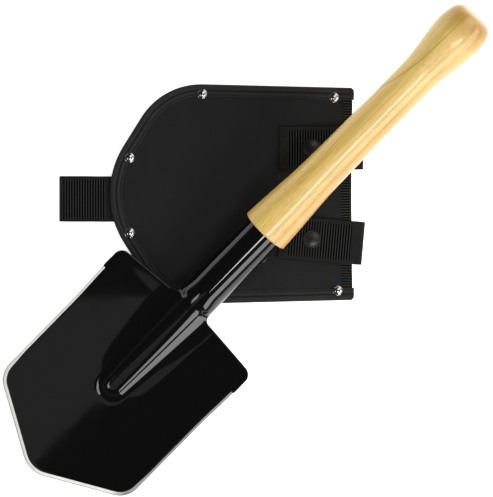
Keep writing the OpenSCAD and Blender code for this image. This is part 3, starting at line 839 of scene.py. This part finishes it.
COLLAR_R, WAIST_R, KNOB_R = 20.5, 15.9, 21.3
COLLAR_S = SOCKET_END + 0.3
STATIONS = ((COLLAR_S + 1.2, COLLAR_R), (288, COLLAR_R - 0.7), (308, 18.4), (329, 17),
            (355, 16.3), (385, 16), (410, WAIST_R), (440, WAIST_R + 0.1), (455, 16.3),
            (465, 17.2), (475, 18.7), (485, 20.2), (494, KNOB_R - 0.1), (501, KNOB_R - 0.1),
            (507, 20.4), (SHOVEL_LEN - 7, 18.9), (SHOVEL_LEN - 3, 16.4),
            (SHOVEL_LEN - 0.8, 12.6), (SHOVEL_LEN, 7.0))


def smooth_path(points, steps):
    """A Catmull-Rom curve through the points."""
    path, last = [], len(points) - 1
    for k in range(last):
        a, b, c, d = (Vector(points[m]) for m in (max(0, k - 1), k, k + 1, min(last, k + 2)))
        for q in range(steps):
            u = q / steps
            path.append(0.5 * (2 * b + (c - a) * u + (2 * a - 5 * b + 4 * c - d) * u * u
                               + (3 * b - a - 3 * c + d) * u ** 3))
    return path + [Vector(points[last])]


def handle():
    """The turned handle with its collar, waist and knob, and the tenon in the socket."""
    tenon_r = SOCKET_R - STEEL_T - 0.25
    start = SHOULDER_S + NECK_LEN + 4
    profile = [(0.0, start), (tenon_r - 1, start), (tenon_r, start + 1), (tenon_r, COLLAR_S)]
    profile += [(COLLAR_R - 1.2 + 1.2 * math.sin(a), COLLAR_S + 1.2 - 1.2 * math.cos(a))
                for a in [math.pi / 2 * k / 5 for k in range(5)]]
    profile += [(p.y, p.x) for p in smooth_path(STATIONS, 8)]
    profile += [(4.0, SHOVEL_LEN + 0.35), (0.0, SHOVEL_LEN + 0.45)]
    verts, faces = lathe(profile, 144)
    verts = [(z, x, y) for x, y, z in verts]
    obj = mesh_object("handle_wood", verts, faces, [WOOD], socket_frame, 50)
    finish_piece(obj, "shovel", "varnished_wood", "handle")


SCREW_S, SCREW_LEAN, SCREW_R, SCREW_H = 256.0, 100.0, 3.6, 2.0


def screw():
    """A domed screw head with a driver slot, in the side of the socket."""
    profile = [(0.0, -11.0), (1.6, -11.0), (1.6, 0.0), (SCREW_R - 0.2, 0.0)]
    profile += dome(SCREW_R, SCREW_H + 0.05, ball_under(SCREW_R, SCREW_H), 14)
    verts, faces = lathe(profile, 64)
    place = (socket_frame @ moved(SCREW_S, 0, 0)
             @ Matrix.Rotation(math.radians(SCREW_LEAN), 4, "X") @ moved(0, 0, SOCKET_R))
    obj = mesh_object("screw_head", verts, faces, [SCREW], place, 35)
    cut = bpy.data.meshes.new("slot_cutter")
    tool = bmesh.new()
    bmesh.ops.create_cube(tool, size=1.0, matrix=Matrix.Diagonal((8 * MM, 0.9 * MM, 1.6 * MM, 1)))
    tool.to_mesh(cut)
    tool.free()
    cutter = in_scene("slot_cutter", cut)
    cutter.matrix_world = place @ moved(0, 0, SCREW_H) @ Matrix.Rotation(0.6, 4, "Z")
    slot = obj.modifiers.new("slot", "BOOLEAN")
    slot.operation, slot.object, slot.solver = "DIFFERENCE", cutter, "EXACT"
    bpy.context.view_layer.update()
    shape = bpy.data.meshes.new_from_object(obj.evaluated_get(
        bpy.context.evaluated_depsgraph_get()))
    obj.modifiers.clear()
    obj.data = shape
    bpy.data.objects.remove(cutter)
    finish_piece(obj, "shovel", "screw_steel", "socket_screw")


# ---------- sheath outline

NOSE_R, CHEEK_R, CHEEK_ANGLE = 73.0, 56.3, 58.0
SIDE_TAPER = math.radians(1.4)
MOUTH_DIP = 1.2
cheek_b = SHEATH_HALF_W - CHEEK_R
_lean = math.radians(CHEEK_ANGLE)
cheek_run = (cheek_b + (CHEEK_R - NOSE_R) * math.cos(_lean)) / math.sin(_lean)
cheek_a = NOSE_R + (CHEEK_R - NOSE_R) * math.sin(_lean) + cheek_run * math.cos(_lean)
side_start = (cheek_a + CHEEK_R * math.sin(SIDE_TAPER), cheek_b + CHEEK_R * math.cos(SIDE_TAPER))
mouth_half = side_start[1] - (SHEATH_LEN - side_start[0]) * math.tan(SIDE_TAPER)


def straight(start, end, normal, step):
    count = max(1, round(math.dist(start, end) / step))
    return [(mixed(start[0], end[0], k / count), mixed(start[1], end[1], k / count), *normal)
            for k in range(count)]


def bend(centre, r, start, end, step):
    count = max(2, round(abs(math.radians(end - start)) * r / step))
    out = []
    for k in range(count):
        turn = math.radians(mixed(start, end, k / count))
        out.append((centre[0] + r * math.cos(turn), centre[1] + r * math.sin(turn),
                    math.cos(turn), math.sin(turn)))
    return out


def outline(step):
    """Half of the sheath's edge from the nose to the mouth: (a, b, outward a, outward b)."""
    lean = 90 - CHEEK_ANGLE
    nose = bend((NOSE_R, 0), NOSE_R, 180, 180 - lean, step)
    cheek = bend((cheek_a, cheek_b), CHEEK_R, 180 - lean, 90 - math.degrees(SIDE_TAPER), step)
    turn = math.radians(180 - lean)
    end = (NOSE_R + NOSE_R * math.cos(turn), NOSE_R * math.sin(turn))
    out = (math.sin(SIDE_TAPER), math.cos(SIDE_TAPER))
    side = straight(side_start, (SHEATH_LEN, mouth_half), out, step)
    return (nose + straight(end, cheek[0][:2], (math.cos(turn), math.sin(turn)), step)
            + cheek + side + [(SHEATH_LEN, mouth_half, *out)])


def whole_outline(step):
    half = outline(step)
    return [(a, -b, na, -nb) for a, b, na, nb in reversed(half[1:])] + half


def edge_distance(a, b):
    """How far a point of the sheath lies inside its outline."""
    b = abs(b)
    lean = math.radians(90 - CHEEK_ANGLE)
    if a >= side_start[0]:
        return CHEEK_R - ((a - cheek_a) * math.sin(SIDE_TAPER)
                          + (b - cheek_b) * math.cos(SIDE_TAPER))
    if math.atan2(b, NOSE_R - a) < lean:
        return NOSE_R - math.hypot(a - NOSE_R, b)
    if b > cheek_b and math.atan2(b - cheek_b, cheek_a - a) > lean:
        return CHEEK_R - math.hypot(a - cheek_a, b - cheek_b)
    return CHEEK_R - ((cheek_a - a) * math.cos(lean) + (b - cheek_b) * math.sin(lean))


def mouth_dip(b):
    return MOUTH_DIP * (1 - (b / SHEATH_HALF_W) ** 2)


# ---------- cloth panels

CLOTH_T = 0.9
PUFF_H = 1.3
CLOTH_INSET = 1.0


def cloth_height(a, b):
    """Lift of the cloth over its flat place: a soft pillow with slack ripples."""
    d = edge_distance(a, b)
    open_zone = smooth((d - 7) / 26) * mixed(1.0, 0.25, smooth((a - 105) / 45))
    ripple = (0.34 * noise.noise(Vector((a / 27, b / 38, 3.1)))
              + 0.16 * noise.noise(Vector((a / 11, b / 15, 7.7))))
    gather = 0.10 * math.sin(1.9 * (a + abs(b)) / 6) * bell(d - 10, 4)
    return PUFF_H * open_zone + ripple * smooth((d - 5) / 12) + gather


def cloth(name, z, way, node):
    """One panel: a grid across the outline, as a closed shell as thick as the cloth."""
    rows = [(a - na * CLOTH_INSET, max(0.0, b - nb * CLOTH_INSET))
            for a, b, na, nb in outline(2.4)]
    rows[-1] = (SHEATH_LEN, rows[-1][1])
    cols = 91
    verts = []
    for depth in (0.0, CLOTH_T):
        for a, w in rows:
            for k in range(cols):
                b = w * (2 * k / (cols - 1) - 1)
                pull = mouth_dip(b) * smooth((a - 150) / 40)
                lift = cloth_height(a, b)
                if way < 0:
                    lift = 0.25 * lift - 0.2
                verts.append((a - pull, b, z + way * (lift - depth)))
    count = len(rows) * cols
    faces = grid_faces(len(rows), cols) + grid_faces(len(rows), cols, count)
    loop = ([k for k in range(cols)] + [cols * (i + 1) - 1 for i in range(1, len(rows))]
            + [count - 1 - k for k in range(1, cols)]
            + [cols * i for i in range(len(rows) - 2, 0, -1)])
    for p, q in zip(loop, loop[1:] + loop[:1]):
        faces.append((p, q, q + count, p + count))
    obj = mesh_object(name, verts, faces, [NYLON], sheath_frame, 50)
    finish_piece(obj, "sheath", "nylon", node)


# ---------- edge binding

BINDING_W = 9.0
TAPE_T = 0.5
STITCH_IN = 4.1
CORNER_R = 3.2
MOUTH_BULGE = 1.6


def tape_height(inward):
    """Height of the tape's face over its flat place: soft rolls between two grooves."""
    return (0.30 * bell(inward - 2.0, 1.3) + 0.24 * bell(inward - 5.8, 1.0)
            + 0.20 * bell(inward - 8.5, 0.5) - 0.25 * bell(inward - STITCH_IN, 0.6)
            - 0.20 * bell(inward - 7.5, 0.4))


def binding_profile():
    """Closed cross-section as (inward offset, height)."""
    high, low = tape_top, tape_bottom
    steps = 26
    face = [mixed(BINDING_W, 0.9, k / steps) for k in range(steps + 1)]
    top = [(x, high + tape_height(x) - 0.35 * smooth((x - 8.5) / 0.5)) for x in face]
    wall = arc((0.7, high - 1.3), 1.3, 80, 180, 6) + arc((0.7, low + 1.3), 1.3, 180, 280, 6)
    wall = [(x - TAPE_T + 0.1, z) for x, z in wall]
    base = [(x, low + 0.35 * smooth((x - 8.5) / 0.5)) for x in reversed(face)]
    inner = [(BINDING_W, low + TAPE_T), (0.6, low + TAPE_T), (0.6, high - TAPE_T),
             (BINDING_W, high - TAPE_T)]
    return top + wall + base + inner


def binding():
    """The tape folded round the sheath's edge, from one side of the mouth to the other."""
    profile = binding_profile()
    path = [(*p, 0.0) for p in outline(1.2)]
    a, b, na, nb = path.pop()[:4]
    for k in range(9):
        turn = math.pi / 2 * k / 8
        reach = MOUTH_BULGE - CORNER_R * (1 - math.sin(turn))
        path.append((a + reach * nb, b - reach * na, na, nb, CORNER_R * (1 - math.cos(turn))))
    path = [(a, -b, na, -nb, inset) for a, b, na, nb, inset in reversed(path[1:])] + path
    verts, marks, run = [], [], 0.0
    middle = (tape_top + tape_bottom) / 2
    for k, (a, b, na, nb, inset) in enumerate(path):
        if k:
            run += math.dist((a, b), path[k - 1][:2])
        wave = 0.35 * noise.noise(Vector((run / 16, 0.5, 0)))
        pucker = 0.07 * math.sin(2 * math.pi * run / 3.4)
        for x, z in profile:
            reach = inset + x * (1 - inset / BINDING_W) + wave * smooth((x - 4) / 4)
            rise = pucker * bell(x - STITCH_IN, 2.0) * (1 if z > middle else -1)
            verts.append((a - na * reach, b - nb * reach, z + rise))
            marks.append((run, x, 0))
    faces = tube_faces(len(path), len(profile))
    obj = mesh_object("edge_tape", verts, faces, [TAPE], sheath_frame, 45, marks=marks)
    finish_piece(obj, "sheath", "binding", "edge_binding")


# ---------- mouth tapes

MOUTH_W = 8.0
MOUTH_HALF = mouth_half - BINDING_W - 0.8
MOUTH_RIB_H = 0.18


def mouth_tape(name, low, high, node):
    """Ribbed tape folded round one panel's mouth edge; its ribs run over the edge."""
    steps = round(2 * MOUTH_HALF / RIB_PITCH * 9)
    inner, outer = SHEATH_LEN - MOUTH_W, SHEATH_LEN + TAPE_T
    middle, half = (low + high) / 2, (high - low) / 2
    fold = arc((outer - half, middle), half, 90, -90, 8)
    count = 8
    top = [(mixed(inner, outer - half, k / count), high) for k in range(count)]
    base = [(mixed(outer - half, inner, (k + 1) / count), low) for k in range(count)]
    core = [(inner, low + 0.35), (outer - half, low + 0.35), (outer - half, high - 0.35),
            (inner, high - 0.35)]
    profile = top + fold + base + core
    skin = len(top + fold + base)
    verts, marks = [], []
    for k in range(steps + 1):
        b = mixed(-MOUTH_HALF, MOUTH_HALF, k / steps)
        rib = MOUTH_RIB_H * (abs(math.sin(math.pi * b / RIB_PITCH)) - 0.4)
        wave = 0.3 * noise.noise(Vector((b / 20, low, 2)))
        for q, (a, z) in enumerate(profile):
            grow = rib * (1 - 0.7 * bell(a - inner - 1.5, 0.6)) if q < skin else 0
            up = 1 if z >= middle else -1
            lip = grow if a > outer - half else 0
            verts.append((a - mouth_dip(b) + lip + wave * (a < inner + 0.1),
                          b, z + grow * up * (a <= outer - half + 0.01)))
            marks.append((b, 0, 1 if q < skin else 0))
    faces = tube_faces(steps + 1, len(profile))
    obj = mesh_object(name, verts, faces, [TAPE], sheath_frame, 60, marks=marks)
    finish_piece(obj, "sheath", "binding", node)


# ---------- webbing strips

WEB_T = 1.1
RIB_H = 0.30
SELVEDGE = 2.6
EDGE_R = 0.55
START_PLAIN = 4.0


def rounded_path(corners, radius, step):
    """A path through corner points with rounded corners: (x, z) points evenly spaced."""
    pts = [Vector(c) for c in corners]
    dense = [pts[0]]
    for k in range(1, len(pts) - 1):
        back, ahead = (pts[k - 1] - pts[k]).normalized(), (pts[k + 1] - pts[k]).normalized()
        half = math.acos(clamp(back.dot(ahead), -1, 1)) / 2
        cut = min(radius / math.tan(half), 0.49 * min((pts[k - 1] - pts[k]).length,
                                                     (pts[k + 1] - pts[k]).length))
        start, end = pts[k] + back * cut, pts[k] + ahead * cut
        centre = pts[k] + (back + ahead).normalized() * cut / math.cos(half)
        r = (start - centre).length
        for q in range(13):
            spoke = (start - centre).lerp(end - centre, q / 12).normalized() * r
            dense.append(centre + spoke)
    total, at = walk(dense + [pts[-1]])
    count = round(total / step)
    return [at(total * m / count) for m in range(count + 1)], total


def rib_share(run, total, fold, fold_half, hem, fade):
    """How far the ribs stand up along a strip: not at its start, its fold and its hem."""
    return (smooth((abs(run - fold) - fold_half) / fade) * smooth((total - run - hem) / fade)
            * smooth((run - START_PLAIN) / 1.0))


def strip_section(half_w, across=22):
    """Closed section: (offset, height in thicknesses, +1 or -1 on its faces, 0 on its edges)."""
    flat = half_w - EDGE_R
    shares = [mixed(-flat, flat, q / across) for q in range(across + 1)]
    turn = arc((0, 0), 1, 90, -90, 6)[1:-1]
    return ([(y, 0.5, 1) for y in shares] + [(flat + EDGE_R * x, 0.5 * z, 0) for x, z in turn]
            + [(y, -0.5, -1) for y in reversed(shares)]
            + [(-flat - EDGE_R * x, -0.5 * z, 0) for x, z in turn])


def strip(path, total, width, fading, seed):
    """A webbing strip swept along a path in x and z; the ribs fade out as rib_share says."""
    section = strip_section(width / 2)
    verts, marks = [], []
    for k, p in enumerate(path):
        run = total * k / (len(path) - 1)
        ahead = (path[min(k + 1, len(path) - 1)] - path[max(k - 1, 0)]).normalized()
        up = Vector((-ahead.y, ahead.x))
        wave = 0.35 * noise.noise(Vector((run / 22, seed, 0)))
        ridge = RIB_H * (abs(math.sin(math.pi * run / RIB_PITCH)) - 0.45)
        knob = 0.05 * math.sin(2 * math.pi * run / RIB_PITCH)
        for y, share, face in section:
            d = width / 2 - abs(y)
            ribs = smooth(d - SELVEDGE + 0.7) * rib_share(run, total, *fading) * (face != 0)
            rail = 0.12 * bell(d - 1.5, 0.45) - 0.10 * bell(d - SELVEDGE, 0.35)
            place = p + up * (WEB_T * share + face * (ridge * ribs + rail + knob * bell(d, 0.9)))
            verts.append((place.x, y + wave, place.y))
            marks.append((run, y, ribs))
    return verts, tube_faces(len(path), len(section)), marks


FLAP_LEN, STRAP_W, BASE_LEN = 68.0, 35.0, 54.0
HEM_LEN = 6.5
FOLD_PLAIN = 12.5


def strap_frame(fold, skew):
    return sheath_frame @ moved(fold.x, fold.y, 0) @ Matrix.Rotation(-skew, 4, "Z")


def strap(name, fold, skew, nodes, seed):
    """One retaining strap: sewn to the back, up round the mouth, and over the front."""
    mid = WEB_T / 2
    flap_z = flap_top - mid
    corners = [(-BASE_LEN, mid), (-mid, mid), (-mid, flap_z), (-FLAP_LEN, flap_z)]
    path, total = rounded_path(corners, 1.6, RIB_PITCH / 8)
    fading = (BASE_LEN + flap_z / 2, FOLD_PLAIN, HEM_LEN, 1.0)
    verts, faces, marks = strip(path, total, STRAP_W, fading, seed)
    place = strap_frame(fold, skew)
    obj = mesh_object(name, verts, faces, [WEBBING], place, 55, marks=marks)
    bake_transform(obj)
    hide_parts(*nodes)


LOOP_W, LOOP_B, LOOP_REACH, LOOP_GAP, LOOP_TAIL = 37.0, -4.0, 42.0, 4.6, 150.0


def belt_loop():
    """The strip sewn down the back and folded over beyond the nose, open for a belt."""
    mid = WEB_T / 2
    turn_r = LOOP_GAP / 2 + mid
    far = -LOOP_REACH + turn_r + mid
    top = mid + 2 * turn_r
    turn = arc((far, mid + turn_r), turn_r, 270, 90, 16)[1:-1]
    points = [(LOOP_TAIL, mid), (far, mid)] + turn + [(far, top), (6.0, top)]
    path, total = rounded_path(points, 0.4, RIB_PITCH / 8)
    fading = (LOOP_TAIL - far + math.pi * turn_r / 2, 2.8, 10.0, 1.2)
    verts, faces, marks = strip(path, total, LOOP_W, fading, 4.2)
    place = sheath_frame @ moved(0, LOOP_B, 0)
    obj = mesh_object("belt_webbing", verts, faces, [WEBBING], place, 55, marks=marks)
    finish_piece(obj, "sheath", "webbing", "belt_loop")


# ---------- stitching

STITCH_LEN, STITCH_GAP, THREAD_R = 2.5, 0.9, 0.30


def add_stitch(verts, faces, start, end, up, sides=6):
    """One stitch: a short arched thread whose ends dive into the cloth."""
    up = Vector(up)
    side = (end - start).normalized().cross(up).normalized()
    first, rings = len(verts), 7
    for k in range(rings):
        u = k / (rings - 1)
        centre = start.lerp(end, u) + up * (0.42 * math.sin(math.pi * u) - 0.26)
        r = THREAD_R * (0.55 + 0.45 * math.sin(math.pi * clamp(u, 0.05, 0.95)))
        for q in range(sides):
            turn = 2 * math.pi * q / sides
            verts.append(tuple(centre + side * r * math.cos(turn) + up * r * math.sin(turn)))
    faces.extend(grid_faces(rings, sides, first, ring=True))
    faces.append(tuple(first + q for q in range(sides)))
    faces.append(tuple(first + (rings - 1) * sides + q for q in range(sides)))


def stitch_run(verts, faces, path, up):
    """Stitches at an even pitch along a path of 3-D points."""
    total, at = walk([Vector(p) for p in path])
    count = max(1, int(total / (STITCH_LEN + STITCH_GAP)))
    pitch = total / count
    for m in range(count):
        start, end = at(m * pitch + STITCH_GAP / 2), at((m + 1) * pitch - STITCH_GAP / 2)
        add_stitch(verts, faces, start, end, up)


def box_route(x0, x1, y0, y1, z):
    """A sewn box as four runs of thread, and its cross as two more."""
    a, b, c, d = (x0, y0, z), (x1, y0, z), (x1, y1, z), (x0, y1, z)
    return [[a, b], [b, c], [c, d], [d, a], [a, c], [b, d]]


def stitch_object(name, runs, place, body):
    """Runs of thread; each is (points, up) in millimetres, in the place's own frame."""
    verts, faces = [], []
    for points, up in runs:
        stitch_run(verts, faces, points, up)
    obj = mesh_object(name, verts, faces, [THREAD], place, 60)
    finish_piece(obj, body, "binding")


def stitching():
    up, down = (0, 0, 1), (0, 0, -1)
    line = [(a - na * STITCH_IN, b - nb * STITCH_IN) for a, b, na, nb in whole_outline(1.5)]
    seam = tape_height(STITCH_IN)
    runs = [([(a, b, tape_top + seam) for a, b in line], up),
            ([(a, b, tape_bottom) for a, b in line], down)]
    dips = [mixed(-MOUTH_HALF + 1, MOUTH_HALF - 1, k / 40) for k in range(41)]
    in_by = SHEATH_LEN - MOUTH_W + 1.5
    mouth_front = [(in_by - mouth_dip(b), b, front_top + TAPE_T) for b in dips]
    mouth_back = [(in_by - mouth_dip(b), b, back_face - TAPE_T) for b in dips]
    stitch_object("seam_edge", runs + [(mouth_front, up), (mouth_back, down)], sheath_frame,
                  "sheath")

    tail = [(r, down) for r in box_route(LOOP_TAIL - 36, LOOP_TAIL - 4, LOOP_B - 15,
                                         LOOP_B + 15, 0.05)]
    tail += [(r, down) for r in box_route(6, 38, LOOP_B - 15, LOOP_B + 15, 0.05)]
    stitch_object("seam_belt_webbing", tail, sheath_frame, "sheath")

    for name, fold, skew, body in (("upper", upper_fold, 0.0, "upper_flap"),
                                   ("lower", lower_fold, lower_skew, "lower_flap")):
        place = strap_frame(fold, skew)
        half = STRAP_W / 2 - 3
        leg = [(r, down) for r in box_route(-BASE_LEN + 4, -14, -half, half, 0.05)]
        stitch_object(f"seam_{name}_leg", leg, place, "sheath")
        hem = box_route(-FLAP_LEN + 2.0, -FLAP_LEN + HEM_LEN - 1.2, -half, half, flap_top + 0.02)
        stitch_object(f"seam_{name}_hem", [(r, up) for r in hem[:4]], place, body)


# ---------- rivets and snaps

RIVET_R, SNAP_R, SNAP_BACK = 3.95, 7.3, 42.0
RIVET_SPOTS = ((74, 81.3), (74, -81.3), (15, 29.5), (15, -31.5), (SHEATH_LEN - 15, 78.4),
               (SHEATH_LEN - 12, -78.4))


def at_rivets(name, profile, z, node):
    """Copies of a turned shape at every rivet."""
    shape, quads = lathe(profile, 48)
    verts, faces = [], []
    for a, b in RIVET_SPOTS:
        faces += [tuple(len(verts) + v for v in quad) for quad in quads]
        verts += [(x + a, y + b, up + z) for x, y, up in shape]
    obj = mesh_object(name, verts, faces, [NICKEL], sheath_frame, 50)
    finish_piece(obj, "sheath", "nickel", node)


def rivets():
    """Domed caps on the front and washers on the back."""
    cap = [(0.0, -1.0), (RIVET_R - 0.3, -1.0), (RIVET_R - 0.25, 0.0), (RIVET_R, 0.08),
           (RIVET_R + 0.02, 0.26)]
    cap += dome(RIVET_R - 0.25, RIVET_H + 0.05, ball_under(RIVET_R, RIVET_H), 16)
    at_rivets("rivet_domes", cap, tape_top, "rivet_caps")
    washer = [(0.0, 0.3), (1.3, 0.15), (1.9, 0), (3.2, 0), (3.8, 0.25), (3.8, 0.75), (0.0, 0.75)]
    at_rivets("rivet_washers", washer, bottom_of("rivet_backs"), "rivet_backs")


def snap_cap(name, fold, skew, body, node):
    """A pressed cap: rolled rim, shallow groove and a low crown."""
    crown = [(0.0, -1.1), (1.6, -1.1), (1.6, 0.0), (SNAP_R - 0.4, 0.0)]
    crown += [(SNAP_R - 0.5 + 0.5 * math.cos(a), 0.5 + 0.5 * math.sin(a))
              for a in [math.radians(-80 + 20 * k) for k in range(9)]]
    crown += [(SNAP_R - 1.1, 0.86), (SNAP_R - 1.5, 0.84)] + dome(SNAP_R - 1.9, 1.72, 22.0, 14)
    verts, faces = lathe(crown, 64)
    place = strap_frame(fold, skew) @ moved(-SNAP_BACK, 0, flap_top)
    obj = mesh_object(name, verts, faces, [SNAP], place, 35)
    finish_piece(obj, body, "snap_black", node)


# ---------- carried-over nodes

def paint_nodes():
    """Procedural materials on the CAD nodes that keep their own shape."""
    kept = {BOARD: ("back_liner", "front_liner"), NYLON: ("edge_welt",),
            SNAP: ("snap_studs", "upper_snap_socket", "lower_snap_socket"),
            NICKEL: ("snap_backs",)}
    for material, names in kept.items():
        for name in names:
            mesh = frame["nodes"][name].data
            mesh.materials.clear()
            mesh.materials.append(material)


# ---------- studio

CAMERA_H = 10.0
VIEW_CENTRE = (-23.1, -39.7)
VIEW_SPAN = 404.0
SENSOR = 36.0
# The sky's brightness by height: near the horizon and overhead
SKY = ((0.02, 0.30), (0.42, 0.06))
FLOOR_HALF, FLOOR_Z, FLOOR_GLOW = 6.0, -0.0001, 0.85
# Lamps: name, centre, target, size and radiance, in metres. The key draws the bright strip
# down the socket and the wedge on the rib's flank. The nose light draws the crescent on the
# rib's nose, the dim panel the broad grey reflection on the blade, and the wood streak the
# narrow shine along the handle. The tall side light and the low fill light the cloth and the
# wood, and the shovel's tilt keeps the first of them out of the blade and the socket.
LAMPS = (("key", (0.375, -1.30, 0.82), (0.375, -0.04, 0.02), (2.35, 0.66), 5.0),
         ("tall_side", (1.35, -0.04, 1.30), (0, -0.04, 0.02), (1.2, 2.4), 2.3),
         ("low_fill", (0.0, 1.50, 0.19), (0.0, -0.04, 0.02), (3.0, 0.24), 1.6),
         ("nose_light", (-0.95, 0.22, 1.15), (-0.18, -0.04, 0.02), (0.34, 0.34), 5.0),
         ("dim_panel", (-0.786, -0.08, 1.2), (-0.107, -0.538, 0), (0.25, 0.5), 0.30),
         ("wood_streak", (-0.24, -0.57, 1.35), (0.05, -0.04, 0.03), (0.55, 0.22), 15.0))


def camera():
    data = bpy.data.cameras.new("camera")
    data.sensor_width = SENSOR
    data.lens = SENSOR * CAMERA_H / (VIEW_SPAN * MM)
    obj = in_scene("camera", data)
    obj.location = (VIEW_CENTRE[0] * MM, VIEW_CENTRE[1] * MM, CAMERA_H)
    obj.rotation_euler = (0, 0, -lay_angle)
    bpy.context.scene.camera = obj


def softbox(name, centre, target, size, radiance):
    """A rectangular lamp of a given brightness, turned towards the target; metres."""
    data = bpy.data.lights.new(name, "AREA")
    data.shape = "RECTANGLE"
    data.size, data.size_y = size
    data.energy = radiance * math.pi * size[0] * size[1]
    obj = in_scene(name, data)
    obj.location = centre
    obj.rotation_euler = (Vector(target) - Vector(centre)).to_track_quat("-Z", "Y").to_euler()
    obj.visible_camera = False


def studio():
    scene = bpy.context.scene
    scene.view_settings.view_transform = "Standard"
    world = bpy.data.worlds.new("studio")
    scene.world = world
    world.use_nodes = True
    tree = world.node_tree
    back = tree.nodes["Background"]
    coords = tree.nodes.new("ShaderNodeTexCoord")
    split = tree.nodes.new("ShaderNodeSeparateXYZ")
    ramp = tree.nodes.new("ShaderNodeValToRGB")
    tree.links.new(coords.outputs["Generated"], split.inputs[0])
    tree.links.new(split.outputs["Z"], ramp.inputs["Fac"])
    tree.links.new(ramp.outputs["Color"], back.inputs["Color"])
    for point, (height, level) in zip(ramp.color_ramp.elements, SKY):
        point.position = height
        point.color = (level, level, level, 1)

    mesh = bpy.data.meshes.new("floor")
    mesh.from_pydata([(x * FLOOR_HALF, y * FLOOR_HALF, FLOOR_Z)
                      for x, y in ((-1, -1), (1, -1), (1, 1), (-1, 1))], [], [(0, 1, 2, 3)])
    floor = in_scene("floor", mesh)
    s = Shader("pale_floor", (0.93, 0.93, 0.925), 0.9)
    s.link(s.ramp(s.noise(s.place(), 0.004, 2.0), (0.3, (0.925, 0.925, 0.92)),
                  (0.7, (0.935, 0.935, 0.93))), "Base Color")
    s.set("Emission Color", (1, 1, 1, 1))
    s.set("Emission Strength", FLOOR_GLOW)
    mesh.materials.append(s.material)

    for lamp in LAMPS:
        softbox(*lamp)


# ---------- build

camera()
studio()
blade()
handle()
screw()
cloth("front_cloth", front_top, 1, "front_panel")
cloth("back_cloth", back_face, -1, "back_panel")
binding()
mouth_tape("mouth_tape_front", front_face - TAPE_T, front_top + TAPE_T, "mouth_binding_front")
mouth_tape("mouth_tape_back", back_face - TAPE_T, back_top + TAPE_T, "mouth_binding_back")
belt_loop()
strap("upper_webbing", upper_fold, 0.0, ("upper_strap_base", "upper_strap"), 1.5)
strap("lower_webbing", lower_fold, lower_skew,
      ("lower_strap_base", "lower_strap"), 8.5)
stitching()
rivets()
snap_cap("upper_cap", upper_fold, 0.0, "upper_flap", "upper_snap_cap")
snap_cap("lower_cap", lower_fold, lower_skew, "lower_flap", "lower_snap_cap")
paint_nodes()
